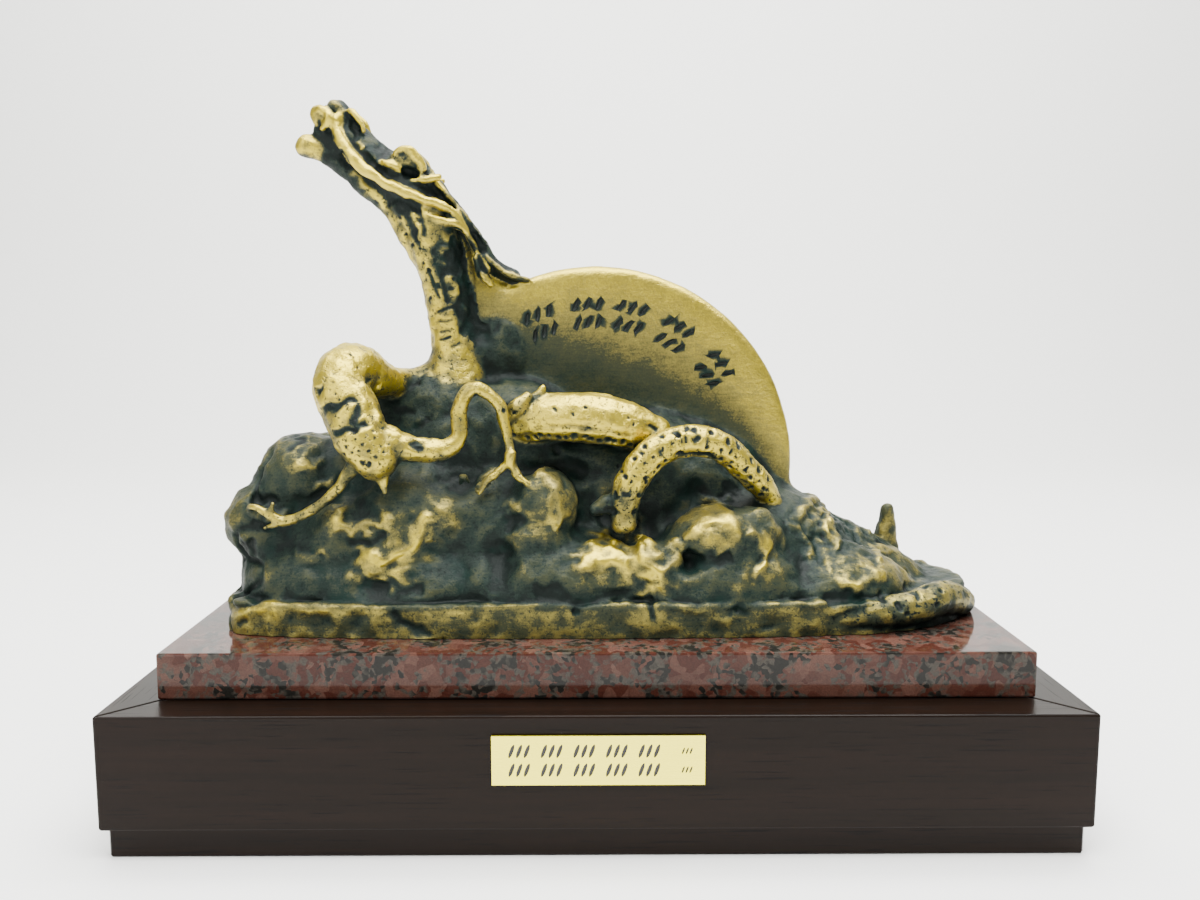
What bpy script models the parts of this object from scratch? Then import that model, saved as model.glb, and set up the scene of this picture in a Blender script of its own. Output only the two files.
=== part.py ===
"""Cast bronze dragon before a sun disc, on a granite slab and a hollow wooden plinth.

The casting is modelled the way its wax was: masses of clay pressed together, limbs rolled out
and laid on, hollows thumbed in, and the foot cut off flat. Its points are counted in shares of
its own foot's length, so the figure keeps its pose when that length changes. The slab and the
plinth follow from it by named margins.
"""

import math

import bpy
import bmesh
import numpy as np
from mathutils import Matrix, Vector

FOOT_LENGTH = 0.348
CAST_SHIFT = 0.010
SLAB_MARGIN_X = 0.002
SLAB_MARGIN_Y = 0.020
SLAB_THICKNESS = 0.020
SLAB_EDGE = 0.001
LEDGE = 0.019
RAIL_WIDTH = 0.045
RAIL_HEIGHT = 0.0485
RAIL_EDGE = 0.0008
BOARD_THICKNESS = 0.0125
BOARD_RECESS = 0.003
PLATE_LENGTH = 0.087
PLATE_HEIGHT = 0.021
PLATE_THICKNESS = 0.001
PLATE_RISE = 0.006
GAP = 0.0003

# The casting's free form is counted in 348ths of its foot's length, from the foot's middle.
SHARES_LONG = 348
SHARES_DEEP = 134
SHARE = FOOT_LENGTH / SHARES_LONG
ROCK_GRAIN = 2.5 * SHARE
CLAY_GRAIN = 1.5 * SHARE
CAST_TRIANGLES = 8200
# How many times each clay is smoothed.
ROCK_ROUNDS = 10
CLAY_ROUNDS = 2

# Sizes that follow from the ones above.
SLAB_LENGTH = FOOT_LENGTH + 2 * (CAST_SHIFT + SLAB_MARGIN_X)
SLAB_DEPTH = SHARES_DEEP * SHARE + 2 * SLAB_MARGIN_Y
PLINTH_LENGTH = SLAB_LENGTH + 2 * LEDGE
PLINTH_DEPTH = SLAB_DEPTH + 2 * LEDGE
RAIL_FOOT = BOARD_THICKNESS + GAP
SLAB_FOOT = RAIL_FOOT + RAIL_HEIGHT + GAP
CAST_FOOT = SLAB_FOOT + SLAB_THICKNESS + GAP
# The nameplate stands proud in front, so the plinth stands back by half of that.
PLINTH_Y = (PLATE_THICKNESS + GAP) / 2

# Foot of the casting, seen from above: x, y.
FOOT_HEIGHT = 14.5
FOOT_EDGE = 1.5
FOOT_OUTLINE = [
    (-174, -55), (-160, -61), (-125, -65), (-62, -67), (-9, -67), (35, -66), (93, -63),
    (126, -57), (151, -43), (165, -25), (168, -6), (161, 18), (142, 40), (104, 55),
    (44, 64), (-10, 67), (-90, 66), (-150, 60), (-171, 44), (-173, 0),
]

# Sun disc: the slab of a true circle that stands in the rock.
DISC_CENTRE = (-10.4, 4, 68.6)
DISC_RADIUS = 96.5
DISC_THICKNESS = 15
DISC_EDGE = 3

# Where the disc is inscribed: clumps of short strokes in two rows, on an arc about its centre.
# Turns and leans are in degrees from upright.
STROKE_TURNS = (-21, -3, 13, 31, 51)
STROKE_STEP = 4.1
STROKE_LEAN = 28
STROKE_RADIUS = 74
STROKE_ROW = 4.4
STROKE_SIZE = (1.1, 1.5, 3.2)

# Rock and cloud masses: x, y, z and the half size along each.
ROCK_MASSES = [
    (-126, -12, 28, 44, 42, 47), (-148, -22, 64, 23, 23, 22.5), (-164, -30, 46, 19, 20, 19),
    (-139, -28, 18, 39, 32, 24), (-126, -22, 65, 22, 20, 19),
    (-80, 0, 60, 48, 34, 52), (-98, -24, 42, 36, 32, 34), (-60, -20, 40, 38, 32, 34),
    (-84, -6, 90, 30, 20, 27), (-104, -4, 88, 26, 16, 24), (-52, -10, 80, 34, 24, 30),
    (-5, -2, 52, 82, 32, 44),
    (0, 8, 28, 94, 48, 44), (64, -4, 28, 47, 42, 33), (-100, -36, 16, 58, 28, 22),
    (-30, -38, 18, 58, 28, 25), (40, -36, 18, 58, 29, 22), (94, -28, 14, 44, 30, 20),
]

# The same behind, where the photo doesn't reach: a plainer bank of rocks against the disc.
BACK_ROCKS = [
    (-136, 24, 28, 32, 30, 34), (-146, 8, 60, 21, 24, 24), (-112, 32, 46, 26, 24, 32),
    (-74, 26, 60, 28, 22, 32), (-90, 44, 18, 40, 21, 24), (-50, 40, 32, 24, 24, 30),
    (-14, 28, 52, 26, 22, 26), (-10, 46, 16, 40, 19, 22), (26, 34, 34, 26, 24, 30),
    (44, 42, 14, 40, 21, 18), (66, 26, 26, 24, 22, 22), (88, 24, 8, 50, 28, 20),
    (-40, 18, 84, 20, 12, 14), (34, 16, 66, 16, 11, 12),
]

# Boulders and curls of cloud on the front, in the same terms.
BOULDERS = [
    (-34, -42, 55, 16, 14, 16), (-38, -47, 41, 14, 12, 12), (-8, -48, 30, 16, 12, 10),
    (14, -50, 28, 15, 12, 12), (46, -44, 37, 25, 16, 18), (63, -42, 41, 10, 11, 14),
    (-84, -44, 51, 18, 11, 11), (-104, -46, 38, 24, 12, 12), (-126, -44, 40, 12, 12, 20),
    (94, -18, 34, 17, 18, 13), (102, -30, 24, 18, 15, 12), (126, -24, 12, 17, 17, 10),
    (-52, -50, 12, 18, 10, 10),
]

# The skin between neck and disc, in the same terms.
WEB = [(-72, 4, 166, 9, 7, 20), (-64, 4, 148, 12, 8, 20), (-60, 3, 124, 22, 11, 22)]

# Round masses drawn out along a path: x, y, z and radius at each station.
SLOPE = [(84, 0, 27, 24.5), (112, -2, 17, 22.5), (138, -6, 7, 17), (154, -12, 1, 10.5)]
NECK = [
    (-79, -3, 112, 15), (-79, -3, 126, 11.5), (-80.5, -3, 138, 11.3), (-82, -3, 150, 11.5),
    (-84.5, -4, 164, 12.2), (-88, -4, 176, 13), (-93, -4, 188, 13), (-99, -4, 198, 12.4),
    (-107.5, -4, 207, 11.2), (-115.5, -4, 213, 10.2), (-122.5, -4, 219.5, 9.6), (-128, -4, 225, 9),
    (-133, -4, 229, 7.5),
]
LIP = [
    (86, -58, 5, 4), (112, -57, 8, 6.2), (134, -52, 10, 7.5), (151, -40, 11, 8), (164, -26, 5.5, 6.5),
    (167, -8, 3.5, 6.8),
]
MANE = [
    (-94, -4, 211, 4), (-87, -4, 202.5, 4), (-80, -3, 193, 4), (-73, -2, 183.5, 4),
    (-66, -2, 174.5, 3.8), (-60, -1, 165.5, 3.6), (-50, 0, 160, 3.4),
]
SNOUT = [
    (-106, -4, 212, 5.2), (-114, -4, 218.5, 4.4), (-121, -4, 225.5, 4.2), (-127, -4, 232, 4.2),
    (-132, -4, 237.5, 4.6),
]
MOUTH = [(-138, -4, 226, 6.2), (-130, -4, 219, 7)]
JAW = [
    (-146.7, -4, 220.6, 5.6), (-141, -4, 219, 5.2), (-135, -4, 216.5, 6), (-128, -4, 211.5, 6),
    (-119, -4, 203, 6.4),
]
THROAT = [(-119, -4, 203, 6.2), (-107.5, -4, 193.5, 6.2), (-99, -4, 181, 7.2), (-89.5, -4, 164, 6.6)]
ARCH = [
    (-80, -4, 118, 10), (-92, -6, 111.5, 7), (-103, -12, 109.5, 6.8), (-112, -24, 111.5, 9.4),
    (-121.5, -36, 116.5, 12.6), (-125, -44, 110.5, 12.6), (-119.5, -50, 98, 12.3), (-114, -54, 87, 12),
    (-108, -55, 79, 10.5),
]
ARM = [
    (-103, -52, 84, 8), (-92, -51, 82, 5.8), (-84, -50, 81, 5.4), (-77, -49, 82, 4.6),
    (-72, -48, 87, 4), (-72, -47, 96, 3.8), (-70, -47, 104, 3.6), (-65, -47, 108.5, 3.6),
    (-59, -46, 106, 3.2), (-54, -45, 101, 3.1), (-52, -45, 94, 2.9), (-50, -46, 86, 2.2),
    (-49, -47, 77, 2.2),
]
CLAWS = [
    [(-49, -47, 76, 2), (-55, -49, 71, 1.9), (-60, -50, 67, 1.8), (-63, -51, 62, 1.2)],
    [(-49, -47, 76, 2), (-46, -49, 70, 2.1), (-41, -51, 66, 1.3)],
]
HIND_LEG = [
    (-116, -54, 78, 4), (-122, -55, 69, 2.8), (-128, -55, 62, 2.4), (-137, -55, 55, 2.3),
    (-144, -55, 51.5, 2.3), (-150, -54, 50, 2.4),
]
HIND_CLAWS = [
    [(-150, -54, 50, 2.2), (-156, -54, 53, 1.9), (-163, -52, 56, 1.7), (-167, -48, 55, 1.3)],
    [(-156, -54, 53, 1.7), (-154, -55, 58, 1.2)],
    [(-150, -54, 50, 2), (-158, -54, 47, 1.3)],
]
BODY = [
    (-50, -27, 93, 6), (-45, -29, 92, 9), (-34, -31, 94, 11), (-22, -32, 94.5, 11.7),
    (-9, -32, 93.5, 12), (4, -31, 90.5, 11), (16, -29, 86, 9),
]
TAIL = [
    (2, -46, 48, 6), (3, -48, 61, 7.2), (8, -47, 71, 7.7), (16, -45, 79.5, 7.7),
    (27, -43, 84, 7.4), (39, -41, 84, 7.3), (50, -38, 79, 7), (58, -35, 71, 6.6),
    (66, -31, 63, 6.1), (72, -26, 55, 5),
]
TAIL_TIP = [(136, 10, 18, 9), (137, 12, 28, 6.5), (138, 12, 36, 4.8), (138, 12, 43, 3.6)]
TUFTS = [
    [(-50, -36, 96, 4), (-46, -38, 100, 4), (-42, -36, 104, 2.4)],
    [(-40, -32, 101, 4), (-35, -32, 108, 1.8)],
]

# The head's two sides are alike, so these are laid on both sides of its middle plane.
HEAD_MIDDLE = -4
WHISKER = [
    (-129, -9, 235, 2.4), (-131.5, -11, 228.5, 3), (-128, -13, 220, 3), (-119.5, -15, 210, 3),
    (-111.5, -16, 204.5, 2.8), (-104, -16, 200, 2.6), (-93, -16, 195.5, 2.5),
    (-82, -14, 192, 2.3), (-75.5, -11, 187, 2.1), (-68.5, -7, 173.5, 1.9), (-63, -5, 163, 1.9),
]
UPPER_LIP = [(-140.5, -7, 235, 4), (-137.5, -8, 231, 3.8), (-133, -9, 230.5, 3.6)]
NOSTRIL = [(-132.5, -8, 238, 3.6), (-127, -8, 232.4, 2.5), (-121.5, -8, 226, 2)]
BROW = [(-104, -11, 212.6, 4), (-98.5, -11, 213.8, 6), (-95, -9, 211, 4.2)]

# Places pressed in with the thumb: x, y, z, the half size along each and the depth, which is
# towards the back and counts as negative where the back is pressed.
HOLLOWS = [
    (-52, -54, 27, 11, 14, 16, 10), (31, -60, 31, 7, 12, 8, 7), (38, -40, 60, 18, 18, 14, 10),
    (-22, -40, 70, 20, 18, 10, 9), (-61, -42, 90, 9, 14, 14, 5), (-104, -58, 22, 24, 12, 7, 4),
    (-72, -46, 66, 18, 14, 8, 6), (80, -48, 24, 14, 14, 10, 5), (-9, -56, 18, 20, 12, 6, 4),
    (-62, 52, 48, 12, 18, 20, -9), (8, 50, 44, 12, 18, 20, -9), (-118, 48, 30, 14, 16, 14, -7),
    (-32, 56, 20, 14, 16, 10, -6), (56, 52, 22, 12, 18, 14, -7),
]


def share(*values):
    """A point of the casting's free form, in metres."""
    return Vector(values) * SHARE


def link(name, mesh, material):
    """Put a mesh into the scene as a named object with its own material."""
    mesh.materials.clear()
    mesh.materials.append(material)
    piece = bpy.data.objects.new(name, mesh)
    bpy.context.collection.objects.link(piece)
    return piece


def make_material(name, colour, roughness, metallic):
    """A plain finish: colour as linear RGB, roughness and metallic value."""
    material = bpy.data.materials.new(name)
    material.use_nodes = True
    shader = material.node_tree.nodes["Principled BSDF"]
    shader.inputs["Base Color"].default_value = (*colour, 1)
    shader.inputs["Roughness"].default_value = roughness
    shader.inputs["Metallic"].default_value = metallic
    material.diffuse_color = (*colour, 1)
    return material


def bronze():
    return make_material("rubbed_bronze", (0.30, 0.23, 0.09), 0.45, 0.9)


def granite():
    return make_material("red_granite", (0.26, 0.075, 0.055), 0.15, 0.0)


def dark_wood():
    return make_material("dark_wood", (0.040, 0.026, 0.021), 0.4, 0.0)


def brass():
    return make_material("brushed_brass", (0.75, 0.55, 0.22), 0.3, 1.0)


def add_lump(clay, lump):
    """Press one rounded mass onto the clay."""
    x, y, z, half_x, half_y, half_z = lump
    place = Matrix.LocRotScale(share(x, y, z), None, share(half_x, half_y, half_z))
    bmesh.ops.create_icosphere(clay, subdivisions=4, radius=1, matrix=place)


def add_roll(clay, stations):
    """Roll out a round limb through its stations, with round ends."""
    curve = bpy.data.curves.new("roll", "CURVE")
    curve.dimensions = "3D"
    curve.bevel_depth = 1
    curve.bevel_resolution = 4
    curve.resolution_u = 6
    curve.use_fill_caps = True
    spline = curve.splines.new("BEZIER")
    spline.bezier_points.add(len(stations) - 1)
    spline.radius_interpolation = "CARDINAL"
    for point, (x, y, z, radius) in zip(spline.bezier_points, stations):
        point.co = share(x, y, z)
        point.radius = radius * SHARE
        point.handle_left_type = "AUTO"
        point.handle_right_type = "AUTO"
    add_curve(clay, curve)
    for x, y, z, radius in (stations[0], stations[-1]):
        add_lump(clay, (x, y, z, radius, radius, radius))


def add_curve(clay, curve):
    """Turn a curve into mesh and add it to the clay."""
    guide = bpy.data.objects.new("guide", curve)
    bpy.context.collection.objects.link(guide)
    mesh = bpy.data.meshes.new_from_object(guide)
    clay.from_mesh(mesh)
    bpy.data.objects.remove(guide)
    bpy.data.curves.remove(curve)
    bpy.data.meshes.remove(mesh)


def add_both_sides(clay, stations):
    """Lay a limb on the near side of the head and its like on the far side."""
    add_roll(clay, stations)
    add_roll(clay, [(x, 2 * HEAD_MIDDLE - y, z, radius) for x, y, z, radius in stations])


def add_foot(clay):
    """The broad foot with its lip, from a smooth closed outline."""
    curve = bpy.data.curves.new("foot", "CURVE")
    curve.dimensions = "2D"
    curve.fill_mode = "BOTH"
    curve.extrude = (FOOT_HEIGHT - FOOT_EDGE) * SHARE
    curve.bevel_depth = FOOT_EDGE * SHARE
    curve.offset = -FOOT_EDGE * SHARE
    spline = curve.splines.new("BEZIER")
    spline.use_cyclic_u = True
    spline.bezier_points.add(len(FOOT_OUTLINE) - 1)
    for point, (x, y) in zip(spline.bezier_points, FOOT_OUTLINE):
        point.co = share(x, y, 0)
        point.handle_left_type = "AUTO"
        point.handle_right_type = "AUTO"
    add_curve(clay, curve)


def add_disc(clay):
    """The sun disc, a round slab standing on edge."""
    place = Matrix.Translation(share(*DISC_CENTRE)) @ Matrix.Rotation(math.pi / 2, 4, "X")
    disc = bmesh.ops.create_cone(
        clay, cap_ends=True, segments=96, radius1=DISC_RADIUS * SHARE,
        radius2=DISC_RADIUS * SHARE, depth=DISC_THICKNESS * SHARE, matrix=place)
    corners = set(disc["verts"])
    rims = [edge for edge in clay.edges if set(edge.verts) <= corners
            and abs(edge.verts[0].co.y - edge.verts[1].co.y) < GAP]
    bmesh.ops.bevel(clay, geom=rims, offset=DISC_EDGE * SHARE, affect="EDGES", segments=3,
                    profile=0.5, material=-1)


def add_strokes(clay):
    """The strokes on the disc's front, as lens shapes half sunk in it."""
    centre_x, centre_y, centre_z = DISC_CENTRE
    face = centre_y - DISC_THICKNESS / 2
    for turn in STROKE_TURNS:
        for row in (-1, 1):
            for step in (-1, 0, 1):
                angle = math.radians(turn + step * STROKE_STEP)
                radius = STROKE_RADIUS + row * STROKE_ROW
                x = centre_x + radius * math.sin(angle)
                z = centre_z + radius * math.cos(angle)
                lean = Matrix.Rotation(math.radians(turn + STROKE_LEAN), 3, "Y")
                place = Matrix.LocRotScale(share(x, face, z), lean, share(*STROKE_SIZE))
                bmesh.ops.create_icosphere(clay, subdivisions=1, radius=1, matrix=place)


def press_hollows(mesh):
    """Push the clay in where the hollows are."""
    places = np.empty(len(mesh.vertices) * 3)
    mesh.vertices.foreach_get("co", places)
    places = places.reshape(-1, 3)
    for x, y, z, half_x, half_y, half_z, depth in HOLLOWS:
        away = (places - share(x, y, z)) / share(half_x, half_y, half_z)
        falloff = np.clip(1 - (away ** 2).sum(axis=1), 0, None) ** 2
        places[:, 1] += depth * SHARE * falloff
    mesh.vertices.foreach_set("co", places.ravel())


def fuse(clay, grain, rounds):
    """Fuse separate masses into one skin and soften it."""
    mesh = bpy.data.meshes.new("clay")
    clay.to_mesh(mesh)
    clay.free()
    piece = bpy.data.objects.new("clay", mesh)
    bpy.context.collection.objects.link(piece)
    skin = piece.modifiers.new("skin", "REMESH")
    skin.mode = "VOXEL"
    skin.voxel_size = grain
    soften = piece.modifiers.new("soften", "SMOOTH")
    soften.factor = 0.5
    soften.iterations = rounds
    graph = bpy.context.evaluated_depsgraph_get()
    fused = bpy.data.meshes.new_from_object(piece.evaluated_get(graph))
    bpy.data.objects.remove(piece)
    bpy.data.meshes.remove(mesh)
    return fused


def model_rock():
    """Rock, disc and neck run into each other softly."""
    clay = bmesh.new()
    add_disc(clay)
    for lump in ROCK_MASSES + BACK_ROCKS + BOULDERS + WEB:
        add_lump(clay, lump)
    add_roll(clay, SLOPE)
    add_roll(clay, NECK)
    return fuse(clay, ROCK_GRAIN, ROCK_ROUNDS)


def model_clay():
    """The rock on its foot, with the dragon's limbs laid on it."""
    clay = bmesh.new()
    clay.from_mesh(model_rock())
    add_foot(clay)
    limbs = [LIP, MANE, SNOUT, MOUTH, JAW, THROAT, ARCH, ARM, HIND_LEG, BODY, TAIL, TAIL_TIP]
    for limb in limbs + CLAWS + HIND_CLAWS + TUFTS:
        add_roll(clay, limb)
    for limb in (WHISKER, UPPER_LIP, NOSTRIL, BROW):
        add_both_sides(clay, limb)
    return fuse(clay, CLAY_GRAIN, CLAY_ROUNDS)


def make_casting():
    """Dragon, disc and rock: one casting with a flat underside."""
    place = Matrix.Translation((CAST_SHIFT, PLINTH_Y, CAST_FOOT))
    mesh = model_clay()
    press_hollows(mesh)
    mesh.transform(place)
    casting = link("dragon_casting", mesh, bronze())
    thin = casting.modifiers.new("thin", "DECIMATE")
    thin.ratio = CAST_TRIANGLES / (2 * len(mesh.polygons))
    strokes = bmesh.new()
    add_strokes(strokes)
    strokes.transform(place)
    cut_away(casting, "stroke_cutter", strokes)
    cut_away(casting, "foot_cutter", foot_block())


def cut_away(piece, name, shape):
    """Cut a shape out of a piece; the shape stays in the scene as a hidden cutter."""
    mesh = bpy.data.meshes.new(name)
    shape.to_mesh(mesh)
    shape.free()
    cutter = link(name, mesh, piece.data.materials[0])
    cutter.hide_render = True
    cutter.display_type = "WIRE"
    cut = piece.modifiers.new(name, "BOOLEAN")
    cut.operation = "DIFFERENCE"
    cut.solver = "EXACT"
    cut.object = cutter


def foot_block():
    """All that reaches below the slab's top."""
    depth = DISC_RADIUS * SHARE
    centre = Vector((0, PLINTH_Y, CAST_FOOT - depth / 2))
    shape = bmesh.new()
    size = Vector((PLINTH_LENGTH, PLINTH_DEPTH, depth))
    bmesh.ops.create_cube(shape, size=1, matrix=Matrix.LocRotScale(centre, None, size))
    return shape


def block_mesh(name, centre, size):
    """A plain block as a mesh."""
    shape = bmesh.new()
    bmesh.ops.create_cube(shape, size=1, matrix=Matrix.LocRotScale(centre, None, size))
    mesh = bpy.data.meshes.new(name)
    shape.to_mesh(mesh)
    shape.free()
    return mesh


def round_edges(piece, width, segments):
    """Ease a piece's edges."""
    bevel = piece.modifiers.new("eased_edges", "BEVEL")
    bevel.width = width
    bevel.segments = segments
    bevel.limit_method = "ANGLE"


def make_slab():
    """Polished granite slab."""
    centre = Vector((0, PLINTH_Y, SLAB_FOOT + SLAB_THICKNESS / 2))
    size = Vector((SLAB_LENGTH, SLAB_DEPTH, SLAB_THICKNESS))
    slab = link("granite_slab", block_mesh("granite_slab", centre, size), granite())
    round_edges(slab, SLAB_EDGE, 2)


def make_rail(name, length, depth, turn):
    """One side of the plinth, mitred at both ends; turn faces it outwards."""
    mitre = GAP / math.sqrt(2)
    outer = length / 2 - mitre
    inner = outer - RAIL_WIDTH
    face = -depth / 2
    corners = [(-outer, face), (outer, face), (inner, face + RAIL_WIDTH), (-inner, face + RAIL_WIDTH)]
    shape = bmesh.new()
    outline = shape.faces.new([shape.verts.new((x, y, RAIL_FOOT)) for x, y in corners])
    raised = bmesh.ops.extrude_face_region(shape, geom=[outline])
    top = [item for item in raised["geom"] if isinstance(item, bmesh.types.BMVert)]
    bmesh.ops.translate(shape, verts=top, vec=(0, 0, RAIL_HEIGHT))
    bmesh.ops.recalc_face_normals(shape, faces=shape.faces)
    mesh = bpy.data.meshes.new(name)
    shape.to_mesh(mesh)
    shape.free()
    mesh.transform(Matrix.Translation((0, PLINTH_Y, 0)) @ Matrix.Rotation(turn, 4, "Z"))
    rail = link(name, mesh, dark_wood())
    round_edges(rail, RAIL_EDGE, 2)


def make_plinth():
    """Four mitred rails round an empty middle, on a recessed board."""
    quarter = math.pi / 2
    make_rail("plinth_rail_front", PLINTH_LENGTH, PLINTH_DEPTH, 0)
    make_rail("plinth_rail_right", PLINTH_DEPTH, PLINTH_LENGTH, quarter)
    make_rail("plinth_rail_back", PLINTH_LENGTH, PLINTH_DEPTH, 2 * quarter)
    make_rail("plinth_rail_left", PLINTH_DEPTH, PLINTH_LENGTH, 3 * quarter)
    centre = Vector((0, PLINTH_Y, BOARD_THICKNESS / 2))
    size = Vector((PLINTH_LENGTH - 2 * BOARD_RECESS, PLINTH_DEPTH - 2 * BOARD_RECESS, BOARD_THICKNESS))
    board = link("plinth_base_board", block_mesh("plinth_base_board", centre, size), dark_wood())
    round_edges(board, RAIL_EDGE, 1)


def make_nameplate():
    """Thin plate on the front rail, a little over its middle."""
    y = PLINTH_Y - PLINTH_DEPTH / 2 - GAP - PLATE_THICKNESS / 2
    centre = Vector((0, y, RAIL_FOOT + RAIL_HEIGHT / 2 + PLATE_RISE))
    size = Vector((PLATE_LENGTH, PLATE_THICKNESS, PLATE_HEIGHT))
    link("nameplate", block_mesh("nameplate", centre, size), brass())


def main():
    for item in list(bpy.data.objects):
        bpy.data.objects.remove(item)
    make_casting()
    make_slab()
    make_plinth()
    make_nameplate()


main()
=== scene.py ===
"""Looks of the cast bronze dragon, its granite slab, its wooden plinth and its nameplate.

The casting is modelled again as finely as its wax was worked: the same masses and limbs as its
solid, then strands, ridges, notches and hollows, and a map of how far the patina is rubbed off, with light
and shade painted into that map.
Its points are counted in shares, 348ths of its foot's length, from the foot's middle.
"""

import math

import bpy
import bmesh
import numpy as np
from bpy.props import FloatProperty, FloatVectorProperty, IntProperty, PointerProperty
from mathutils import Euler, Matrix, Vector, noise


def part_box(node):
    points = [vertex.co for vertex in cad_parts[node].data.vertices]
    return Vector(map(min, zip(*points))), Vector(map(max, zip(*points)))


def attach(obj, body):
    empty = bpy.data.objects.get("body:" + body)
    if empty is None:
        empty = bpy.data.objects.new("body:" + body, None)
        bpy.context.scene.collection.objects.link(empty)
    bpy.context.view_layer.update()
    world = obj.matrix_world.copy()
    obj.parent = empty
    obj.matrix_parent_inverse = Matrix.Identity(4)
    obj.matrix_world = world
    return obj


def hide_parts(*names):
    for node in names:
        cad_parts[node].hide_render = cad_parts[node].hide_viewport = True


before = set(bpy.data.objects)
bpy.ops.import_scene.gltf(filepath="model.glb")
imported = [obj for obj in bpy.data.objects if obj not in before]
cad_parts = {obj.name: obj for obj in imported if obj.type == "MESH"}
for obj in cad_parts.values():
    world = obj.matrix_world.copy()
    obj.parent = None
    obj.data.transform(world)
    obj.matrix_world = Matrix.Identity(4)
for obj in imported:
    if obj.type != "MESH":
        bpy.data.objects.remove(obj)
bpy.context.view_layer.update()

bl_info = {
    "name": "Bronze Dragon Sculpture",
    "version": (1, 0, 0),
    "blender": (4, 5, 0),
    "location": "View3D > Sidebar > Sculpture",
    "description": "Models and finishes a bronze dragon on a granite slab and a wooden plinth",
    "category": "Object",
}

MM = 0.001
# The casting's foot in metres, and the share of it that the casting's own numbers count in.
FOOT_LENGTH = 0.348
SHARES_LONG = 348
SHARE = FOOT_LENGTH / SHARES_LONG
CAST_SHIFT = 0.010
GAP = 0.0003

# How the clay is fused, in shares and rounds of smoothing. The clay's grain is the setting,
# made coarser by QUICK_GRAIN and then FULL_FINENESS times finer again.
ROCK_GRAIN = 2.5
ROCK_SOFTNESS = 10
CLAY_SOFTNESS = 3
FULL_FINENESS = 1.5
QUICK_GRAIN = 1.5
SHARP_ANGLE = 55

# Foot of the casting, seen from above: x, y.
FOOT_HEIGHT = 14.5
FOOT_EDGE = 1.5
FOOT_OUTLINE = [
    (-174, -55), (-160, -61), (-125, -65), (-62, -67), (-9, -67), (35, -66), (93, -63),
    (126, -57), (151, -43), (165, -25), (168, -6), (161, 18), (142, 40), (104, 55),
    (44, 64), (-10, 67), (-90, 66), (-150, 60), (-171, 44), (-173, 0),
]

# Sun disc, which is free of rock and neck above its lowest z and right of its leftmost x, and
# the strokes that its front is inscribed with. Turns and leans are in degrees.
DISC_CENTRE = (-10.4, 4, 68.6)
DISC_RADIUS = 96.5
DISC_THICKNESS = 15
DISC_EDGE = 3
DISC_LOWEST = 40
DISC_LEFTMOST = -72
STROKE_TURNS = (-21, -3, 13, 31, 51)
STROKE_STEP = 4.1
STROKE_LEAN = 28
STROKE_RADIUS = 74
STROKE_ROW = 4.4
STROKE_SIZE = (1.1, 1.5, 3.2)

# Rock and cloud masses: x, y, z and the half size along each.
ROCK_MASSES = [
    (-126, -12, 28, 44, 42, 47), (-148, -22, 64, 23, 23, 22.5), (-164, -30, 46, 19, 20, 19),
    (-139, -28, 18, 39, 32, 24), (-126, -22, 65, 22, 20, 19),
    (-80, 0, 60, 48, 34, 52), (-98, -24, 42, 36, 32, 34), (-60, -20, 40, 38, 32, 34),
    (-84, -6, 90, 30, 20, 27), (-104, -4, 88, 26, 16, 24), (-52, -10, 80, 34, 24, 30),
    (-5, -2, 52, 82, 32, 44),
    (0, 8, 28, 94, 48, 44), (64, -4, 28, 47, 42, 33), (-100, -36, 16, 58, 28, 22),
    (-30, -38, 18, 58, 28, 25), (40, -36, 18, 58, 29, 22), (94, -28, 14, 44, 30, 20),
]
BACK_ROCKS = [
    (-136, 24, 28, 32, 30, 34), (-146, 8, 60, 21, 24, 24), (-112, 32, 46, 26, 24, 32),
    (-74, 26, 60, 28, 22, 32), (-90, 44, 18, 40, 21, 24), (-50, 40, 32, 24, 24, 30),
    (-14, 28, 52, 26, 22, 26), (-10, 46, 16, 40, 19, 22), (26, 34, 34, 26, 24, 30),
    (44, 42, 14, 40, 21, 18), (66, 26, 26, 24, 22, 22), (88, 24, 8, 50, 28, 20),
    (-40, 18, 84, 20, 12, 14), (34, 16, 66, 16, 11, 12),
]
BOULDERS = [
    (-34, -42, 55, 16, 14, 16), (-38, -47, 41, 14, 12, 12), (-8, -48, 30, 16, 12, 10),
    (14, -50, 28, 15, 12, 12), (46, -44, 37, 25, 16, 18), (63, -42, 41, 10, 11, 14),
    (-84, -44, 51, 18, 11, 11), (-104, -46, 38, 24, 12, 12), (-126, -44, 40, 12, 12, 20),
    (94, -18, 34, 17, 18, 13), (102, -30, 24, 18, 15, 12), (126, -24, 12, 17, 17, 10),
    (-52, -50, 12, 18, 10, 10),
]
WEB = [(-72, 4, 166, 9, 7, 20), (-64, 4, 148, 12, 8, 20), (-60, 3, 124, 22, 11, 22)]

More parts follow.
